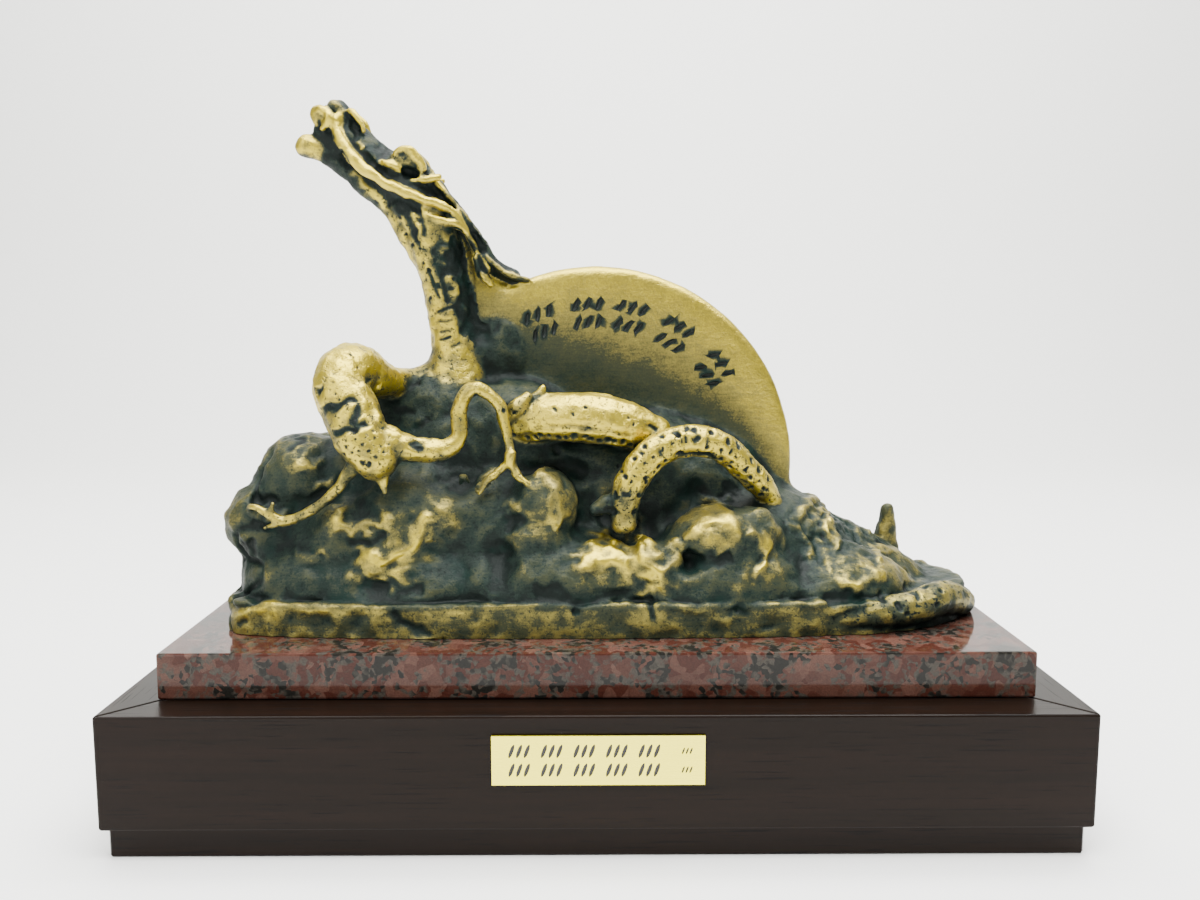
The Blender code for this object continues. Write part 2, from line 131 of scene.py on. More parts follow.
# Round masses drawn out along a path: x, y, z and radius at each station.
SLOPE = [(84, 0, 27, 24.5), (112, -2, 17, 22.5), (138, -6, 7, 17), (154, -12, 1, 10.5)]
NECK = [
    (-79, -3, 112, 15), (-79, -3, 126, 11.5), (-80.5, -3, 138, 11.3), (-82, -3, 150, 11.5),
    (-84.5, -4, 164, 12.2), (-88, -4, 176, 13), (-93, -4, 188, 13), (-99, -4, 198, 12.4),
    (-107.5, -4, 207, 11.2), (-115.5, -4, 213, 10.2), (-122.5, -4, 219.5, 9.6), (-128, -4, 225, 9),
    (-133, -4, 229, 7.5),
]
LIP = [
    (86, -58, 5, 4), (112, -57, 8, 6.2), (134, -52, 10, 7.5), (151, -40, 11, 8), (164, -26, 5.5, 6.5),
    (167, -8, 3.5, 6.8),
]
MANE = [
    (-94, -4, 211, 4), (-87, -4, 202.5, 4), (-80, -3, 193, 4), (-73, -2, 183.5, 4),
    (-66, -2, 174.5, 3.8), (-60, -1, 165.5, 3.6), (-50, 0, 160, 3.4),
]
SNOUT = [
    (-106, -4, 212, 5.2), (-114, -4, 218.5, 4.4), (-121, -4, 225.5, 4.2), (-127, -4, 232, 4.2),
    (-132, -4, 237.5, 4.6),
]
MOUTH = [(-138, -4, 226, 6.2), (-130, -4, 219, 7)]
JAW = [
    (-146.7, -4, 220.6, 5.6), (-141, -4, 219, 5.2), (-135, -4, 216.5, 6), (-128, -4, 211.5, 6),
    (-119, -4, 203, 6.4),
]
THROAT = [(-119, -4, 203, 6.2), (-107.5, -4, 193.5, 6.2), (-99, -4, 181, 7.2), (-89.5, -4, 164, 6.6)]
ARCH = [
    (-80, -4, 118, 10), (-92, -6, 111.5, 7), (-103, -12, 109.5, 6.8), (-112, -24, 111.5, 9.4),
    (-121.5, -36, 116.5, 12.6), (-125, -44, 110.5, 12.6), (-119.5, -50, 98, 12.3), (-114, -54, 87, 12),
    (-108, -55, 79, 10.5),
]
ARM = [
    (-103, -52, 84, 8), (-92, -51, 82, 5.8), (-84, -50, 81, 5.4), (-77, -49, 82, 4.6),
    (-72, -48, 87, 4), (-72, -47, 96, 3.8), (-70, -47, 104, 3.6), (-65, -47, 108.5, 3.6),
    (-59, -46, 106, 3.2), (-54, -45, 101, 3.1), (-52, -45, 94, 2.9), (-50, -46, 86, 2.2),
    (-49, -47, 77, 2.2),
]
CLAWS = [
    [(-49, -47, 76, 2), (-55, -49, 71, 1.9), (-60, -50, 67, 1.8), (-63, -51, 62, 1.2)],
    [(-49, -47, 76, 2), (-46, -49, 70, 2.1), (-41, -51, 66, 1.3)],
]
HIND_LEG = [
    (-116, -54, 78, 4), (-122, -55, 69, 2.8), (-128, -55, 62, 2.4), (-137, -55, 55, 2.3),
    (-144, -55, 51.5, 2.3), (-150, -54, 50, 2.4),
]
HIND_CLAWS = [
    [(-150, -54, 50, 2.2), (-156, -54, 53, 1.9), (-163, -52, 56, 1.7), (-167, -48, 55, 1.3)],
    [(-156, -54, 53, 1.7), (-154, -55, 58, 1.2)],
    [(-150, -54, 50, 2), (-158, -54, 47, 1.3)],
]
BODY = [
    (-50, -27, 93, 6), (-45, -29, 92, 9), (-34, -31, 94, 11), (-22, -32, 94.5, 11.7),
    (-9, -32, 93.5, 12), (4, -31, 90.5, 11), (16, -29, 86, 9),
]
TAIL = [
    (2, -46, 48, 6), (3, -48, 61, 7.2), (8, -47, 71, 7.7), (16, -45, 79.5, 7.7),
    (27, -43, 84, 7.4), (39, -41, 84, 7.3), (50, -38, 79, 7), (58, -35, 71, 6.6),
    (66, -31, 63, 6.1), (72, -26, 55, 5),
]
TAIL_TIP = [(136, 10, 18, 9), (137, 12, 28, 6.5), (138, 12, 36, 4.8), (138, 12, 43, 3.6)]
TUFTS = [
    [(-50, -36, 96, 4), (-46, -38, 100, 4), (-42, -36, 104, 2.4)],
    [(-40, -32, 101, 4), (-35, -32, 108, 1.8)],
]

# The head's two sides are alike, so these are laid on both sides of its middle plane.
HEAD_MIDDLE = -4
WHISKER = [
    (-129, -9, 235, 2.4), (-131.5, -11, 228.5, 3), (-128, -13, 220, 3), (-119.5, -15, 210, 3),
    (-111.5, -16, 204.5, 2.8), (-104, -16, 200, 2.6), (-93, -16, 195.5, 2.5),
    (-82, -14, 192, 2.3), (-75.5, -11, 187, 2.1), (-68.5, -7, 173.5, 1.9), (-63, -5, 163, 1.9),
]
UPPER_LIP = [(-140.5, -7, 235, 4), (-137.5, -8, 231, 3.8), (-133, -9, 230.5, 3.6)]
NOSTRIL = [(-132.5, -8, 238, 3.6), (-127, -8, 232.4, 2.5), (-121.5, -8, 226, 2)]
BROW = [(-104, -11, 212.6, 4), (-98.5, -11, 213.8, 6), (-95, -9, 211, 4.2)]
LIP_CURL = [
    (-141, -9, 236, 1.7), (-138, -11.5, 236, 1.9), (-134, -13, 232.5, 1.8),
    (-135, -13, 230, 1.6), (-137.5, -12, 227.5, 1.4),
]
SNOUT_RIDGE = [(-125, -10, 236, 1.5), (-121, -11, 232, 1.7), (-118.5, -11.5, 226.5, 1.2)]
CHEEK_STREAK = [(-121, -12.5, 221, 1.1), (-116, -13.5, 216, 1.2), (-112, -14.5, 211, 1.1)]
EYELID = [(-110.5, -13.6, 211.5, 1.4), (-106, -14.8, 211, 1.9), (-102, -14.6, 209, 1.6)]
BROW_CURL = [
    (-103, -14, 216, 1.9), (-98, -15.5, 217.5, 2.3), (-94, -15, 214.5, 2.3),
    (-91.5, -13.5, 210.5, 2), (-92.5, -13.5, 207, 1.6),
]
CHEEK_RIDGE = [(-95, -14.4, 204.5, 1.5), (-89, -13.4, 204, 1.9), (-84, -11.2, 205.5, 1.5)]
LOWER_LOCK = [
    (-89, -15.5, 187, 1.6), (-82, -14.5, 185, 2.2), (-76, -12.5, 183, 2), (-71.5, -9.5, 179.5, 1.3),
]
MANE_LOCKS = [
    [(-80, -9, 197, 1.1), (-74, -8.5, 190, 1.3), (-69, -8, 183, 1.2), (-63, -6, 175.5, 0.9)],
    [(-78, -11, 190, 1), (-73, -10, 182, 1.3), (-68, -8.5, 172.5, 1)],
    [(-88, -8, 206, 1.1), (-82, -8, 199, 1.2), (-76, -7.5, 192, 0.9)],
    [(-64, -6, 170, 1.2), (-56, -5.5, 163, 1.4), (-49, -5, 159.5, 1.6), (-43, -4.5, 158.5, 1.2)],
]
NECK_RIDGE = [(-68, -8, 168, 2), (-65.5, -7.5, 161, 2.6), (-61, -6.5, 156, 1.6)]
HEAD_FORMS = [
    WHISKER, UPPER_LIP, NOSTRIL, BROW, LIP_CURL, SNOUT_RIDGE, CHEEK_STREAK, EYELID, BROW_CURL,
    CHEEK_RIDGE, LOWER_LOCK, NECK_RIDGE, *MANE_LOCKS,
]

# Small ends that are laid on last.
SMALL_FORMS = [
    [(-105, -56, 71, 3.6), (-104, -57, 63.5, 1.3)],
    [(-72, -50, 65.5, 0.9), (-70, -51.5, 69, 1.4), (-68.5, -51, 67, 0.9)],
    [(0, -46, 57, 4.5), (-7, -48, 56, 4.4), (-11, -49, 54, 3)],
    [(-49, -49, 79, 2.6), (-49, -49, 75, 2.6)],
]

# Places pressed in with the thumb: x, y, z, the half size along each and the depth, which is
# towards the back and counts as negative where the back is pressed.
HOLLOWS = [
    (-52, -54, 27, 11, 14, 16, 10), (31, -60, 31, 7, 12, 8, 7), (38, -40, 60, 18, 18, 14, 10),
    (-22, -40, 70, 20, 18, 10, 9), (-61, -42, 90, 9, 14, 14, 5), (-104, -58, 22, 24, 12, 7, 4),
    (-72, -46, 66, 18, 14, 8, 6), (80, -48, 24, 14, 14, 10, 5), (-9, -56, 18, 20, 12, 6, 4),
    (-62, 52, 48, 12, 18, 20, -9), (8, 50, 44, 12, 18, 20, -9), (-118, 48, 30, 14, 16, 14, -7),
    (-32, 56, 20, 14, 16, 10, -6), (56, 52, 22, 12, 18, 14, -7),
]

# Ridges and grooves worked on the front: half width, height (negative is a groove), what it does
# to the rubbing, and its path as x, z. Each group has the depths, as y, between which it works.
HEAD_DEPTHS = (-26, -5)
HEAD_MARKS = [
    (1.8, -1.3, -0.6, [(-124, 232), (-123, 228), (-120, 222)]),
    (1.5, -1.0, -0.6, [(-118, 219), (-115, 213), (-108, 206), (-104, 204)]),
    (1.0, -0.9, -0.7, [(-103, 214.5), (-99, 215.5)]),
    (2.2, -1.8, -0.7, [(-101, 207), (-96, 206), (-92, 206.5)]),
    (2.0, -1.0, -0.6, [(-114, 220), (-110, 216), (-106, 217)]),
    (2.2, -1.2, -0.6, [(-130, 218), (-128, 213), (-126, 209)]),
    (2.4, -1.3, -0.6, [(-108, 197), (-101, 193), (-91, 189)]),
    (2.4, -1.2, -0.5, [(-91, 200), (-84, 196)]),
    (1.6, -1.2, -0.6, [(-140, 231), (-139, 227)]),
    (1.2, -0.8, -0.5, [(-134, 227), (-133, 221)]),
    (1.3, -0.5, -0.4, [(-105, 193), (-99, 186), (-94, 178)]),
    (9.5, -2.0, -1.8, [(-78, 181), (-76, 168), (-73, 157)]),
    (6.5, -1.6, -1.5, [(-74, 160), (-71, 149), (-69.5, 140), (-68.5, 128)]),
    (1.8, 0.4, 0.55, [(-125, 209), (-117, 200), (-109, 191)]),
    (1.4, 0.4, 0.5, [(-90, 210), (-85, 204), (-81, 198.5)]),
    (1.2, 0.5, 0.5, [(-120, 219), (-116, 215)]),
    (1.0, 0.4, 0.5, [(-110.5, 212), (-104.5, 210), (-101, 206)]),
    (1.6, -0.9, -0.6, [(-100, 190), (-96, 181), (-93, 173)]),
    (1.3, -0.8, -0.6, [(-95, 191), (-91, 184), (-90, 176)]),
    (1.0, -0.7, -0.6, [(-90, 163), (-87, 155), (-84, 148)]),
    (1.1, -0.7, -0.6, [(-83, 160), (-82, 153), (-80, 147)]),
    (0.8, 0.5, 0.5, [(-76, 191), (-71, 179.5), (-66, 171), (-61, 162.5), (-54, 155)]),
    (2.5, -1.2, -0.6, [(-66, 149), (-65, 138), (-67, 128)]),
    (0.8, -0.6, -0.6, [(-86, 142), (-77, 146)]),
    (0.8, -0.6, -0.6, [(-86, 138), (-78, 139.5)]),
    (0.8, -0.6, -0.6, [(-85, 133.5), (-78, 135)]),
    (0.8, -0.6, -0.6, [(-85, 130), (-79, 131.5)]),
    (0.8, -0.5, -0.5, [(-80, 126), (-75, 128)]),
    (0.9, -0.6, -0.5, [(-95, 186), (-92, 184)]),
]
LIMB_DEPTHS = (-78, -34)
LIMB_MARKS = [
    (1.6, -1.2, -0.9, [(-134, 107.5), (-128, 110)]),
    (1.5, -1.2, -1.0, [(-131, 98.5), (-124, 102), (-114, 105.5)]),
    (1.5, -1.2, -1.0, [(-125, 89.5), (-117, 92), (-108, 94.5)]),
    (2.0, -1.1, -0.9, [(-115, 103), (-114, 98), (-116, 93)]),
    (0.6, -0.4, -0.5, [(-126, 115), (-121, 118)]),
    (1.4, -1.4, -0.9, [(-92, 86.5), (-87, 82)]),
    (0.7, -0.6, -0.8, [(-64.5, 107), (-61, 101)]),
    (2.0, 0.9, 0.15, [(-123, 124), (-115, 112), (-108, 102), (-103, 94), (-97, 86)]),
    (1.4, 0.5, 0.1, [(-97, 86), (-89, 87), (-82, 87), (-77, 88)]),
]
BODY_DEPTHS = (-60, -20)
BODY_MARKS = [
    (1.1, -0.6, -0.2, [(-44, 87), (-31, 91), (-19, 90.5), (-7, 89.5), (6, 86)]),
    (1.6, -1.2, -0.9, [(13, 93), (18, 89)]),
    (1.2, -1.0, -0.8, [(25, 79), (34, 79), (40, 78), (44, 76)]),
]
ROCK_DEPTHS = (-78, -4)
ROCK_MARKS = [
    (2.4, 1.7, 0.14, [(-169, 54), (-163, 54.5), (-159, 50.5), (-154, 50), (-150, 49)]),
    (2.2, 1.2, 0.10, [(-139, 62), (-133, 66), (-129, 67)]),
    (2.8, 2.0, 0.14, [(-126, 56), (-124, 49), (-119, 46.5), (-110, 48), (-99, 50.5)]),
    (3.6, 2.0, 0.16, [(-88, 55), (-88, 46), (-93, 39), (-104, 33), (-118, 34)]),
    (3.0, 1.5, 0.12, [(-148, 33), (-138, 34.5), (-129, 36)]),
    (2.0, 1.2, 0.12, [(-147, 76), (-141, 72), (-134, 75)]),
    (2.2, 1.5, 0.12, [(-64, 62), (-60, 68), (-55, 72)]),
    (2.6, 1.7, 0.14, [(-38, 71), (-33, 69), (-28, 63), (-27, 54), (-31, 46)]),
    (2.2, 1.4, 0.12, [(-53, 55), (-48, 56.5), (-43, 53)]),
    (4.0, 2.1, 0.16, [(-20, 28), (-12, 35), (0, 35), (6, 29)]),
    (3.6, 2.0, 0.16, [(8, 42), (12, 33), (18, 26), (24, 33), (27, 42)]),
    (2.0, 1.0, 0.10, [(9, 52), (10, 45), (10, 38)]),
    (2.6, 1.7, 0.16, [(56, 46), (62, 42), (65, 36), (63, 29), (57, 25)]),
    (2.0, 1.0, 0.10, [(28, 42), (37, 48), (47, 49), (54, 44)]),
    (1.6, 1.0, 0.12, [(67, 48), (73, 43), (75, 34)]),
    (1.6, 0.9, 0.08, [(37, 56), (44, 55), (52, 49)]),
    (2.0, 1.5, 0.14, [(82, 46), (90, 52), (101, 53), (110, 52)]),
    (1.4, 1.0, 0.12, [(76, 46), (83, 43), (88, 36), (89, 30)]),
    (2.0, 1.5, 0.14, [(96, 50), (100, 46), (98, 40), (102, 36), (99, 31)]),
    (1.6, 1.2, 0.12, [(118, 38), (117, 33), (122, 30), (119, 26)]),
    (1.6, 1.2, 0.12, [(123, 36), (131, 35), (139, 32), (146, 30)]),
    (1.6, 1.0, 0.10, [(122, 30), (131, 28), (140, 27), (148, 26)]),
    (2.4, 1.2, 0.12, [(96, 22), (104, 20), (114, 22), (122, 25)]),
    (2.0, -1.7, -0.16, [(-168, 57), (-161, 59), (-155, 56)]),
    (2.4, -2.0, -0.16, [(-166, 50), (-160, 47), (-154, 46)]),
    (3.0, -2.0, -0.16, [(-146, 56), (-137, 58), (-129, 62), (-124, 69)]),
    (3.6, -2.2, -0.16, [(-118, 22), (-108, 20), (-96, 20), (-86, 24)]),
    (3.0, -2.1, -0.16, [(-122, 40), (-112, 41), (-102, 43)]),
    (3.6, -1.4, -0.12, [(-53, 49), (-47, 50), (-42, 45)]),
    (3.0, -2.1, -0.16, [(-8, 50), (-3, 45), (2, 38)]),
    (2.6, -2.0, -0.16, [(27, 35), (35, 33), (44, 33), (50, 36)]),
    (3.0, -1.7, -0.16, [(-38, 18), (-30, 21), (-22, 20)]),
    (2.2, -2.0, -0.20, [(91, 15), (100, 16), (110, 15)]),
    (2.6, -1.2, -0.12, [(125, 33), (134, 31), (143, 29)]),
    (2.2, -1.0, -0.12, [(88, 40), (92, 34), (90, 27)]),
    (2.4, -2.0, -0.16, [(-106, 111), (-98, 110), (-93, 111)]),
    (1.6, -1.0, -0.12, [(-106, 96), (-95, 97)]),
    (1.4, -0.9, -0.12, [(-96, 89), (-88, 93)]),
]
FOOT_DEPTHS = (-78, -20)
FOOT_MARKS = [
    (2.0, -1.0, -0.36, [(-100, 13), (-98, 8), (-91, 4), (-82, 1)]),
    (1.3, -1.1, -0.36, [(13, 18), (14, 8)]),
    (2.2, -0.8, -0.36, [(46, 11), (52, 12.5), (57, 11)]),
    (1.2, -0.7, -0.30, [(-20, 15.5), (-12, 15.5)]),
    (1.6, -0.6, -0.24, [(-147, 8), (-143, 7)]),
    (1.4, -0.6, -0.24, [(62, 4), (69, 4)]),
    (1.6, -0.8, -0.30, [(-172, 3), (-165, 6)]),
    (1.6, -0.6, -0.24, [(120, 9), (124, 5), (131, 2)]),
    (2.0, 0.7, 0.06, [(-161, 12), (-150, 15.5), (-137, 12.5), (-125, 13.5), (-112, 12.5)]),
    (1.6, 0.6, 0.06, [(-80, 12.5), (-62, 13), (-45, 14), (-30, 15.5)]),
    (1.8, 0.8, 0.06, [(-10, 15.5), (-1, 16.5), (6, 17), (11, 19)]),
    (1.8, 0.7, 0.06, [(17, 17), (23, 14), (34, 12.5), (46, 14.5), (60, 15.5)]),
    (1.6, 0.6, 0.06, [(60, 15.5), (75, 15), (90, 15.5), (104, 15)]),
]

# Small pits: radius, depth, what they do to the rubbing and their places as x, z.
HEAD_PITS = [
    (0.9, 0.7, -0.7, [(-93, 172), (-97, 173.5), (-100, 179), (-89, 162), (-82, 160), (-85, 155)]),
    (0.8, 0.6, -0.7, [(-79, 154), (-78, 158), (-89, 149), (-103, 187), (-92, 166), (-86, 167)]),
]
LIMB_PITS = [
    (1.1, 0.8, -0.7, [(-109, 76), (-106, 80), (-115, 91), (-112, 77)]),
    (0.6, 0.5, -0.7, [(-124, 107), (-122, 105), (-116, 118), (-112, 112), (-118, 87), (-119, 84)]),
    (0.6, 0.5, -0.7, [(-114, 88), (-109, 83), (-116, 82), (-103, 82), (-120, 81), (-119, 124)]),
    (0.6, 0.5, -0.7, [(-106, 88), (-111, 86), (-104, 77), (-113, 83), (-126, 112), (-107, 91)]),
]
BODY_PITS = [
    (1.5, 1.1, -0.8, [(-29.5, 98)]),
    (0.9, 0.8, -0.8, [(-48, 97), (-52, 99), (-21, 96), (4, 95), (1, 104), (-16, 100), (6, 92)]),
    (1.3, 1.0, -0.8, [(25, 89), (29.5, 86), (35, 86.5), (30, 91)]),
    (0.9, 0.9, -0.8, [(24, 84), (19, 82), (15, 79), (11, 76), (17, 74), (39, 82), (42, 89)]),
    (0.9, 0.9, -0.8, [(46, 80.5), (50, 79), (46, 76), (50, 74.5), (53, 77), (58, 71), (60, 67)]),
    (0.9, 0.9, -0.8, [(64, 65), (67, 61), (11, 69), (5, 68), (9, 80), (54, 84), (58, 81), (0, 72)]),
]
ROCK_PITS = [
    (2.4, 1.2, -0.3, [(-8, 49), (-28, 78)]),
    (4.0, 0.8, -0.3, [(-148, 83), (-170, 36), (105, 42), (96, 43), (53, 59)]),
]
FOOT_PITS = [
    (1.6, 1.3, -0.4, [(52, 12), (124, 13), (133, 16), (-20, 12)]),
    (1.2, 0.9, -0.4, [(118, 15), (139, 19), (146, 17), (143, 12), (128, 9), (150, 20)]),
]

# The ribs along the body's lower edge, and the rows of scales on the tail, both by a rule: the
# limb, then turn round it in degrees from the front, spacing, radius, depth and darkening.
NOTCH_ROWS = [
    (BODY, (-48, 3.9, 1.3, 0.9, 0.6)), (TAIL, (48, 6.8, 1.5, 1.0, 0.9)),
    (TAIL, (-42, 7.6, 0.9, 0.7, 0.8)), (TAIL, (4, 12.0, 0.8, 0.5, 0.7)),
]

# How far each limb is rubbed to the metal, from 0, dark patina, to 1, bright, and how pitted it is.
LIMB_RUBS = [
    (NECK[:8], 0.86, 0.6), (NECK[7:], 0.18, 0.3), (MANE, 0.04, 0.3), (SNOUT, 0.10, 0.3),
    (MOUTH, 0.0, 0.1), (JAW, 0.10, 0.3), (JAW[:2], 0.83, 0.3), (THROAT[:2], 0.44, 0.7),
    (THROAT[1:], 0.80, 0.7), (ARCH, 1.00, 0.7), (ARCH[6:], 0.82, 0.9),
    (ARCH[:3], 0.66, 0.6), (ARM, 0.80, 0.7), (HIND_LEG, 0.62, 0.7), (BODY, 1.00, 0.7),
    (TAIL[1:], 0.94, 1.0), (TAIL[:2], 0.56, 0.9), (TAIL_TIP, 0.42, 0.2), (LIP, 0.42, 0.9),
    (WHISKER, 1.03, 0.1), (UPPER_LIP, 0.95, 0.1), (NOSTRIL, 0.30, 0.3), (BROW, 0.50, 0.6),
    (LIP_CURL, 1.06, 0.1), (SNOUT_RIDGE, 0.95, 0.3), (CHEEK_STREAK, 0.45, 0.3), (EYELID, 1.01, 0.3),
    (BROW_CURL, 0.90, 0.5), (CHEEK_RIDGE, 0.95, 0.3), (LOWER_LOCK, 0.90, 0.3),
    (NECK_RIDGE, 0.81, 0.3), *[(lock, 0.45, 0.3) for lock in MANE_LOCKS],
    *[(claw, 0.72, 0.6) for claw in CLAWS + TUFTS], *[(claw, 0.62, 0.6) for claw in HIND_CLAWS],
    (SMALL_FORMS[0], 0.70, 0.3), (SMALL_FORMS[2], 0.16, 0.5), (SMALL_FORMS[3], 0.90, 0.3),
]
# How far from a limb's line a point belongs to it, and over what that fades, in its radius.
LIMB_REACH = 1.3
LIMB_FADE = 0.28

# How far all that is no limb is rubbed and pitted, before anything else adds to it.
FIRST_RUB = 0.13
ROCK_PITTED = 0.25

# The rougher patch of the slope: middle as x, z and the half size along each.
ROUGH_PATCH = (104, 36, 24, 15)

# What standing out does to the rubbing: the rounds of smoothing that it is measured from, the
# height that counts in full, how much it rubs rock, limb and disc, and its most on a limb.
STANDING_OUT = [
    (10, 0.25, 0.07, 0.10, 0.05, 1), (120, 1.6, 0.14, 0.30, 0, 0.3), (500, 4, 0.14, 0.06, 0, 1),
]

# On the disc's front, shade is painted below this line and light above it: x, z.
DISC_SHADE = [(-66, 152), (-28, 132), (16, 118), (60, 92), (85, 70)]
DISC_FADE = 30

# Where the rocks are rubbed: half width, how much, and the path as x, z.
SMEARS = [
    (14.0, 0.16, [(-74, 62), (-84, 46), (-100, 34), (-118, 30)]), (11.0, 0.14, [(-140, 40), (-122, 36)]),
    (12.0, 0.12, [(-20, 32), (6, 36), (30, 30)]), (10.0, 0.14, [(60, 40), (66, 28), (84, 24)]),
    (8.9, 0.37, [(-150, 78), (-144, 76), (-140, 80)]), (5.6, 0.23, [(-130, 67), (-136, 61), (-142, 57)]),
    (8.2, 0.23, [(-174, 58), (-178, 48)]),
    (3.8, 0.26, [(-125, 54), (-125, 47), (-118, 46), (-110, 48), (-99, 50)]),
    (9.6, 0.27, [(-80, 58), (-85, 46), (-92, 38), (-102, 33), (-113, 31), (-122, 34)]),
    (8.9, 0.28, [(-120, 27), (-107, 25), (-92, 28)]), (6.5, 0.33, [(-84, 20), (-79, 19)]),
    (8.2, 0.30, [(-161, 14), (-148, 17)]), (8.2, 0.18, [(-172, 3), (-164, 10)]),
    (13.0, 0.48, [(-33, 60), (-33, 50), (-35, 43)]), (8.2, 0.26, [(-28, 45), (-21, 44)]),
    (6.5, 0.18, [(-43, 39), (-48, 42)]), (8.9, 0.45, [(-17, 30), (-4, 36), (5, 31), (13, 25), (21, 31)]),
    (8.2, 0.37, [(15, 19), (12, 26)]), (9.7, 0.32, [(27, 45), (39, 51), (52, 47)]),
    (8.2, 0.26, [(52, 46), (44, 41), (34, 36)]),
    (6.5, 0.33, [(59, 42), (67, 40), (67, 33), (60, 27), (50, 23)]),
    (6.5, 0.26, [(-10, 58), (-4, 63), (0, 55)]), (4.2, 0.33, [(82, 43), (88, 46), (94, 47), (100, 48)]),
    (5.6, 0.41, [(96, 46), (99, 41), (96, 37), (94, 32), (100, 31)]),
    (5.6, 0.33, [(95, 19), (101, 21), (107, 23), (110, 20)]), (3.6, 0.30, [(115, 32), (112, 29), (116, 25)]),
    (3.6, 0.26, [(118, 29), (126, 29), (135, 26), (140, 23)]),
    (3.6, 0.26, [(112, 24), (121, 24), (130, 22), (140, 18)]),
    (4.9, 0.33, [(112, 12), (123, 13), (133, 15), (142, 17), (150, 20)]),
    (6.8, -0.34, [(160, 12), (168, 8), (172, 2)]), (8.1, -0.30, [(-59, 26), (-57, 18)]),
    (1.8, 0.18, [(-163, 12), (-150, 14.5), (-137, 13), (-120, 14), (-106, 13.5)]),
    (1.5, 0.19, [(-62, 13.5), (-43, 14), (-24, 14.5)]), (2.0, 0.23, [(-8, 15), (1, 15.5), (10, 15.5)]),
    (3.2, 0.23, [(14, 16), (19, 16)]), (1.5, 0.19, [(24, 13.5), (38, 14.5), (57, 16), (72, 16)]),
    (1.3, 0.13, [(72, 16), (88, 15.5), (104, 14.5)]),
]

# What is worked on the front, in this order: whether it keeps to the rock, then its depths,
# marks and pits. A smear is a mark without height.
REGIONS = [
    (True, ROCK_DEPTHS, ROCK_MARKS + [(width, 0, *smear) for width, *smear in SMEARS], ROCK_PITS),
    (True, FOOT_DEPTHS, FOOT_MARKS, FOOT_PITS),
    (False, LIMB_DEPTHS, LIMB_MARKS, LIMB_PITS),
    (False, BODY_DEPTHS, BODY_MARKS, BODY_PITS),
    (False, HEAD_DEPTHS, HEAD_MARKS, HEAD_PITS),
]

# The nameplate's clumps of strokes, in shares of its length and height: each clump's middle, the
# step between its strokes and half a stroke's length. Rows stand this far from the middle line.
PLATE_CLUMPS = [(0.13 + 0.152 * number, 0.036, 3.1 * MM) for number in range(5)]
PLATE_CLUMPS.append((0.915, 0.018, 1.5 * MM))
PLATE_ROW = 0.19
PLATE_LEAN = 20
PLATE_DEPTH = 0.25 * MM
PLATE_STROKE_WIDTH = 0.26

# The lights: name, place, what it is turned to, size, and the setting that holds its power.
LIGHTS = [
    ("overhead_softbox", (0.1, -0.25, 1.3), (0, 0, 0.1), (1.4, 1.0), "softbox"),
    ("fill_softbox", (-0.9, -1.0, 0.7), (0, 0, 0.12), (0.8, 0.8), "fill"),
    ("back_softbox", (0, 0.5, 1.8), (0, 1.6, 0.5), (2.4, 0.8), "back"),
]

# The floor: how far it reaches, how far behind its wall stands and how wide the bend is.
FLOOR_REACH = 3.0
WALL_PLACE = 1.6
WALL_BEND = 0.5

# Where the photo's camera stood, how it looked and how wide it saw.
CAMERA_PLACE = (-0.0026, -0.51975, 0.21984)
CAMERA_DOWN = 6.857
CAMERA_TURN = -0.45
CAMERA_LENS = 31.84
SENSOR_WIDTH = 36


def linear(code):
    """Linear RGB of an sRGB hex colour."""
    channels = [int(code[start:start + 2], 16) / 255 for start in (1, 3, 5)]
    return tuple(c / 12.92 if c <= 0.04045 else ((c + 0.055) / 1.055) ** 2.4 for c in channels)


def colour(name, description, code):
    """A colour that a user can change."""
    return FloatVectorProperty(name=name, description=description, subtype="COLOR", size=3,
                               min=0, max=1, default=linear(code))


def number(name, description, default, least=0, **more):
    """A number that a user can change."""
    return FloatProperty(name=name, description=description, default=default, min=least, **more)


class CastingSettings(bpy.types.PropertyGroup):
    """Sizes and colours of the bronze casting."""

    grain: number("Clay grain", "Finest detail that the clay holds", 0.85 * MM, 0.5 * MM,
                  unit="LENGTH", precision=5)
    relief: number("Relief", "Depth of the hand-worked relief, 1 is full", 1.0, max=2)
    triangles: IntProperty(name="Triangles", description="Triangles that the casting keeps",
                           default=190000, min=20000)
    bright: colour("Bright bronze", "Metal rubbed bare on the raised forms", "#c4b03a")
    dull: colour("Dull bronze", "Half rubbed metal", "#867b3e")
    brown: colour("Olive bronze", "Thin patina over metal", "#383b28")
    patina: colour("Patina", "Grey-green patina", "#19251f")
    deep: colour("Deep patina", "Darkest patina, in the hollows", "#0b1411")
    verdigris: colour("Verdigris", "Teal bloom in the hollows", "#08241e")


class StoneSettings(bpy.types.PropertyGroup):
    """Sizes and colours of the granite slab."""

    grain: number("Grain", "Width of the larger crystals", 5.5 * MM, MM, unit="LENGTH", precision=4)
    red: colour("Red feldspar", "The stone's main colour", "#3b1f18")
    pale: colour("Pale feldspar", "Lighter crystals", "#543a31")
    dark: colour("Dark grains", "Clusters of black mica", "#1b1a17")
    grey: colour("Quartz", "Smoky grey crystals", "#3b3731")


class WoodSettings(bpy.types.PropertyGroup):
    """Sizes and colours of the wooden plinth."""

    pore: number("Pore spacing", "Spacing of the wood's open pores", 0.9 * MM, 0.3 * MM,
                 unit="LENGTH", precision=4)
    stain: colour("Stain", "The stained wood's main colour", "#110a06")
    light: colour("Light grain", "Where the stain is thinner", "#170e09")
    pores: colour("Pores", "Stain that fills the pores", "#0d0908")


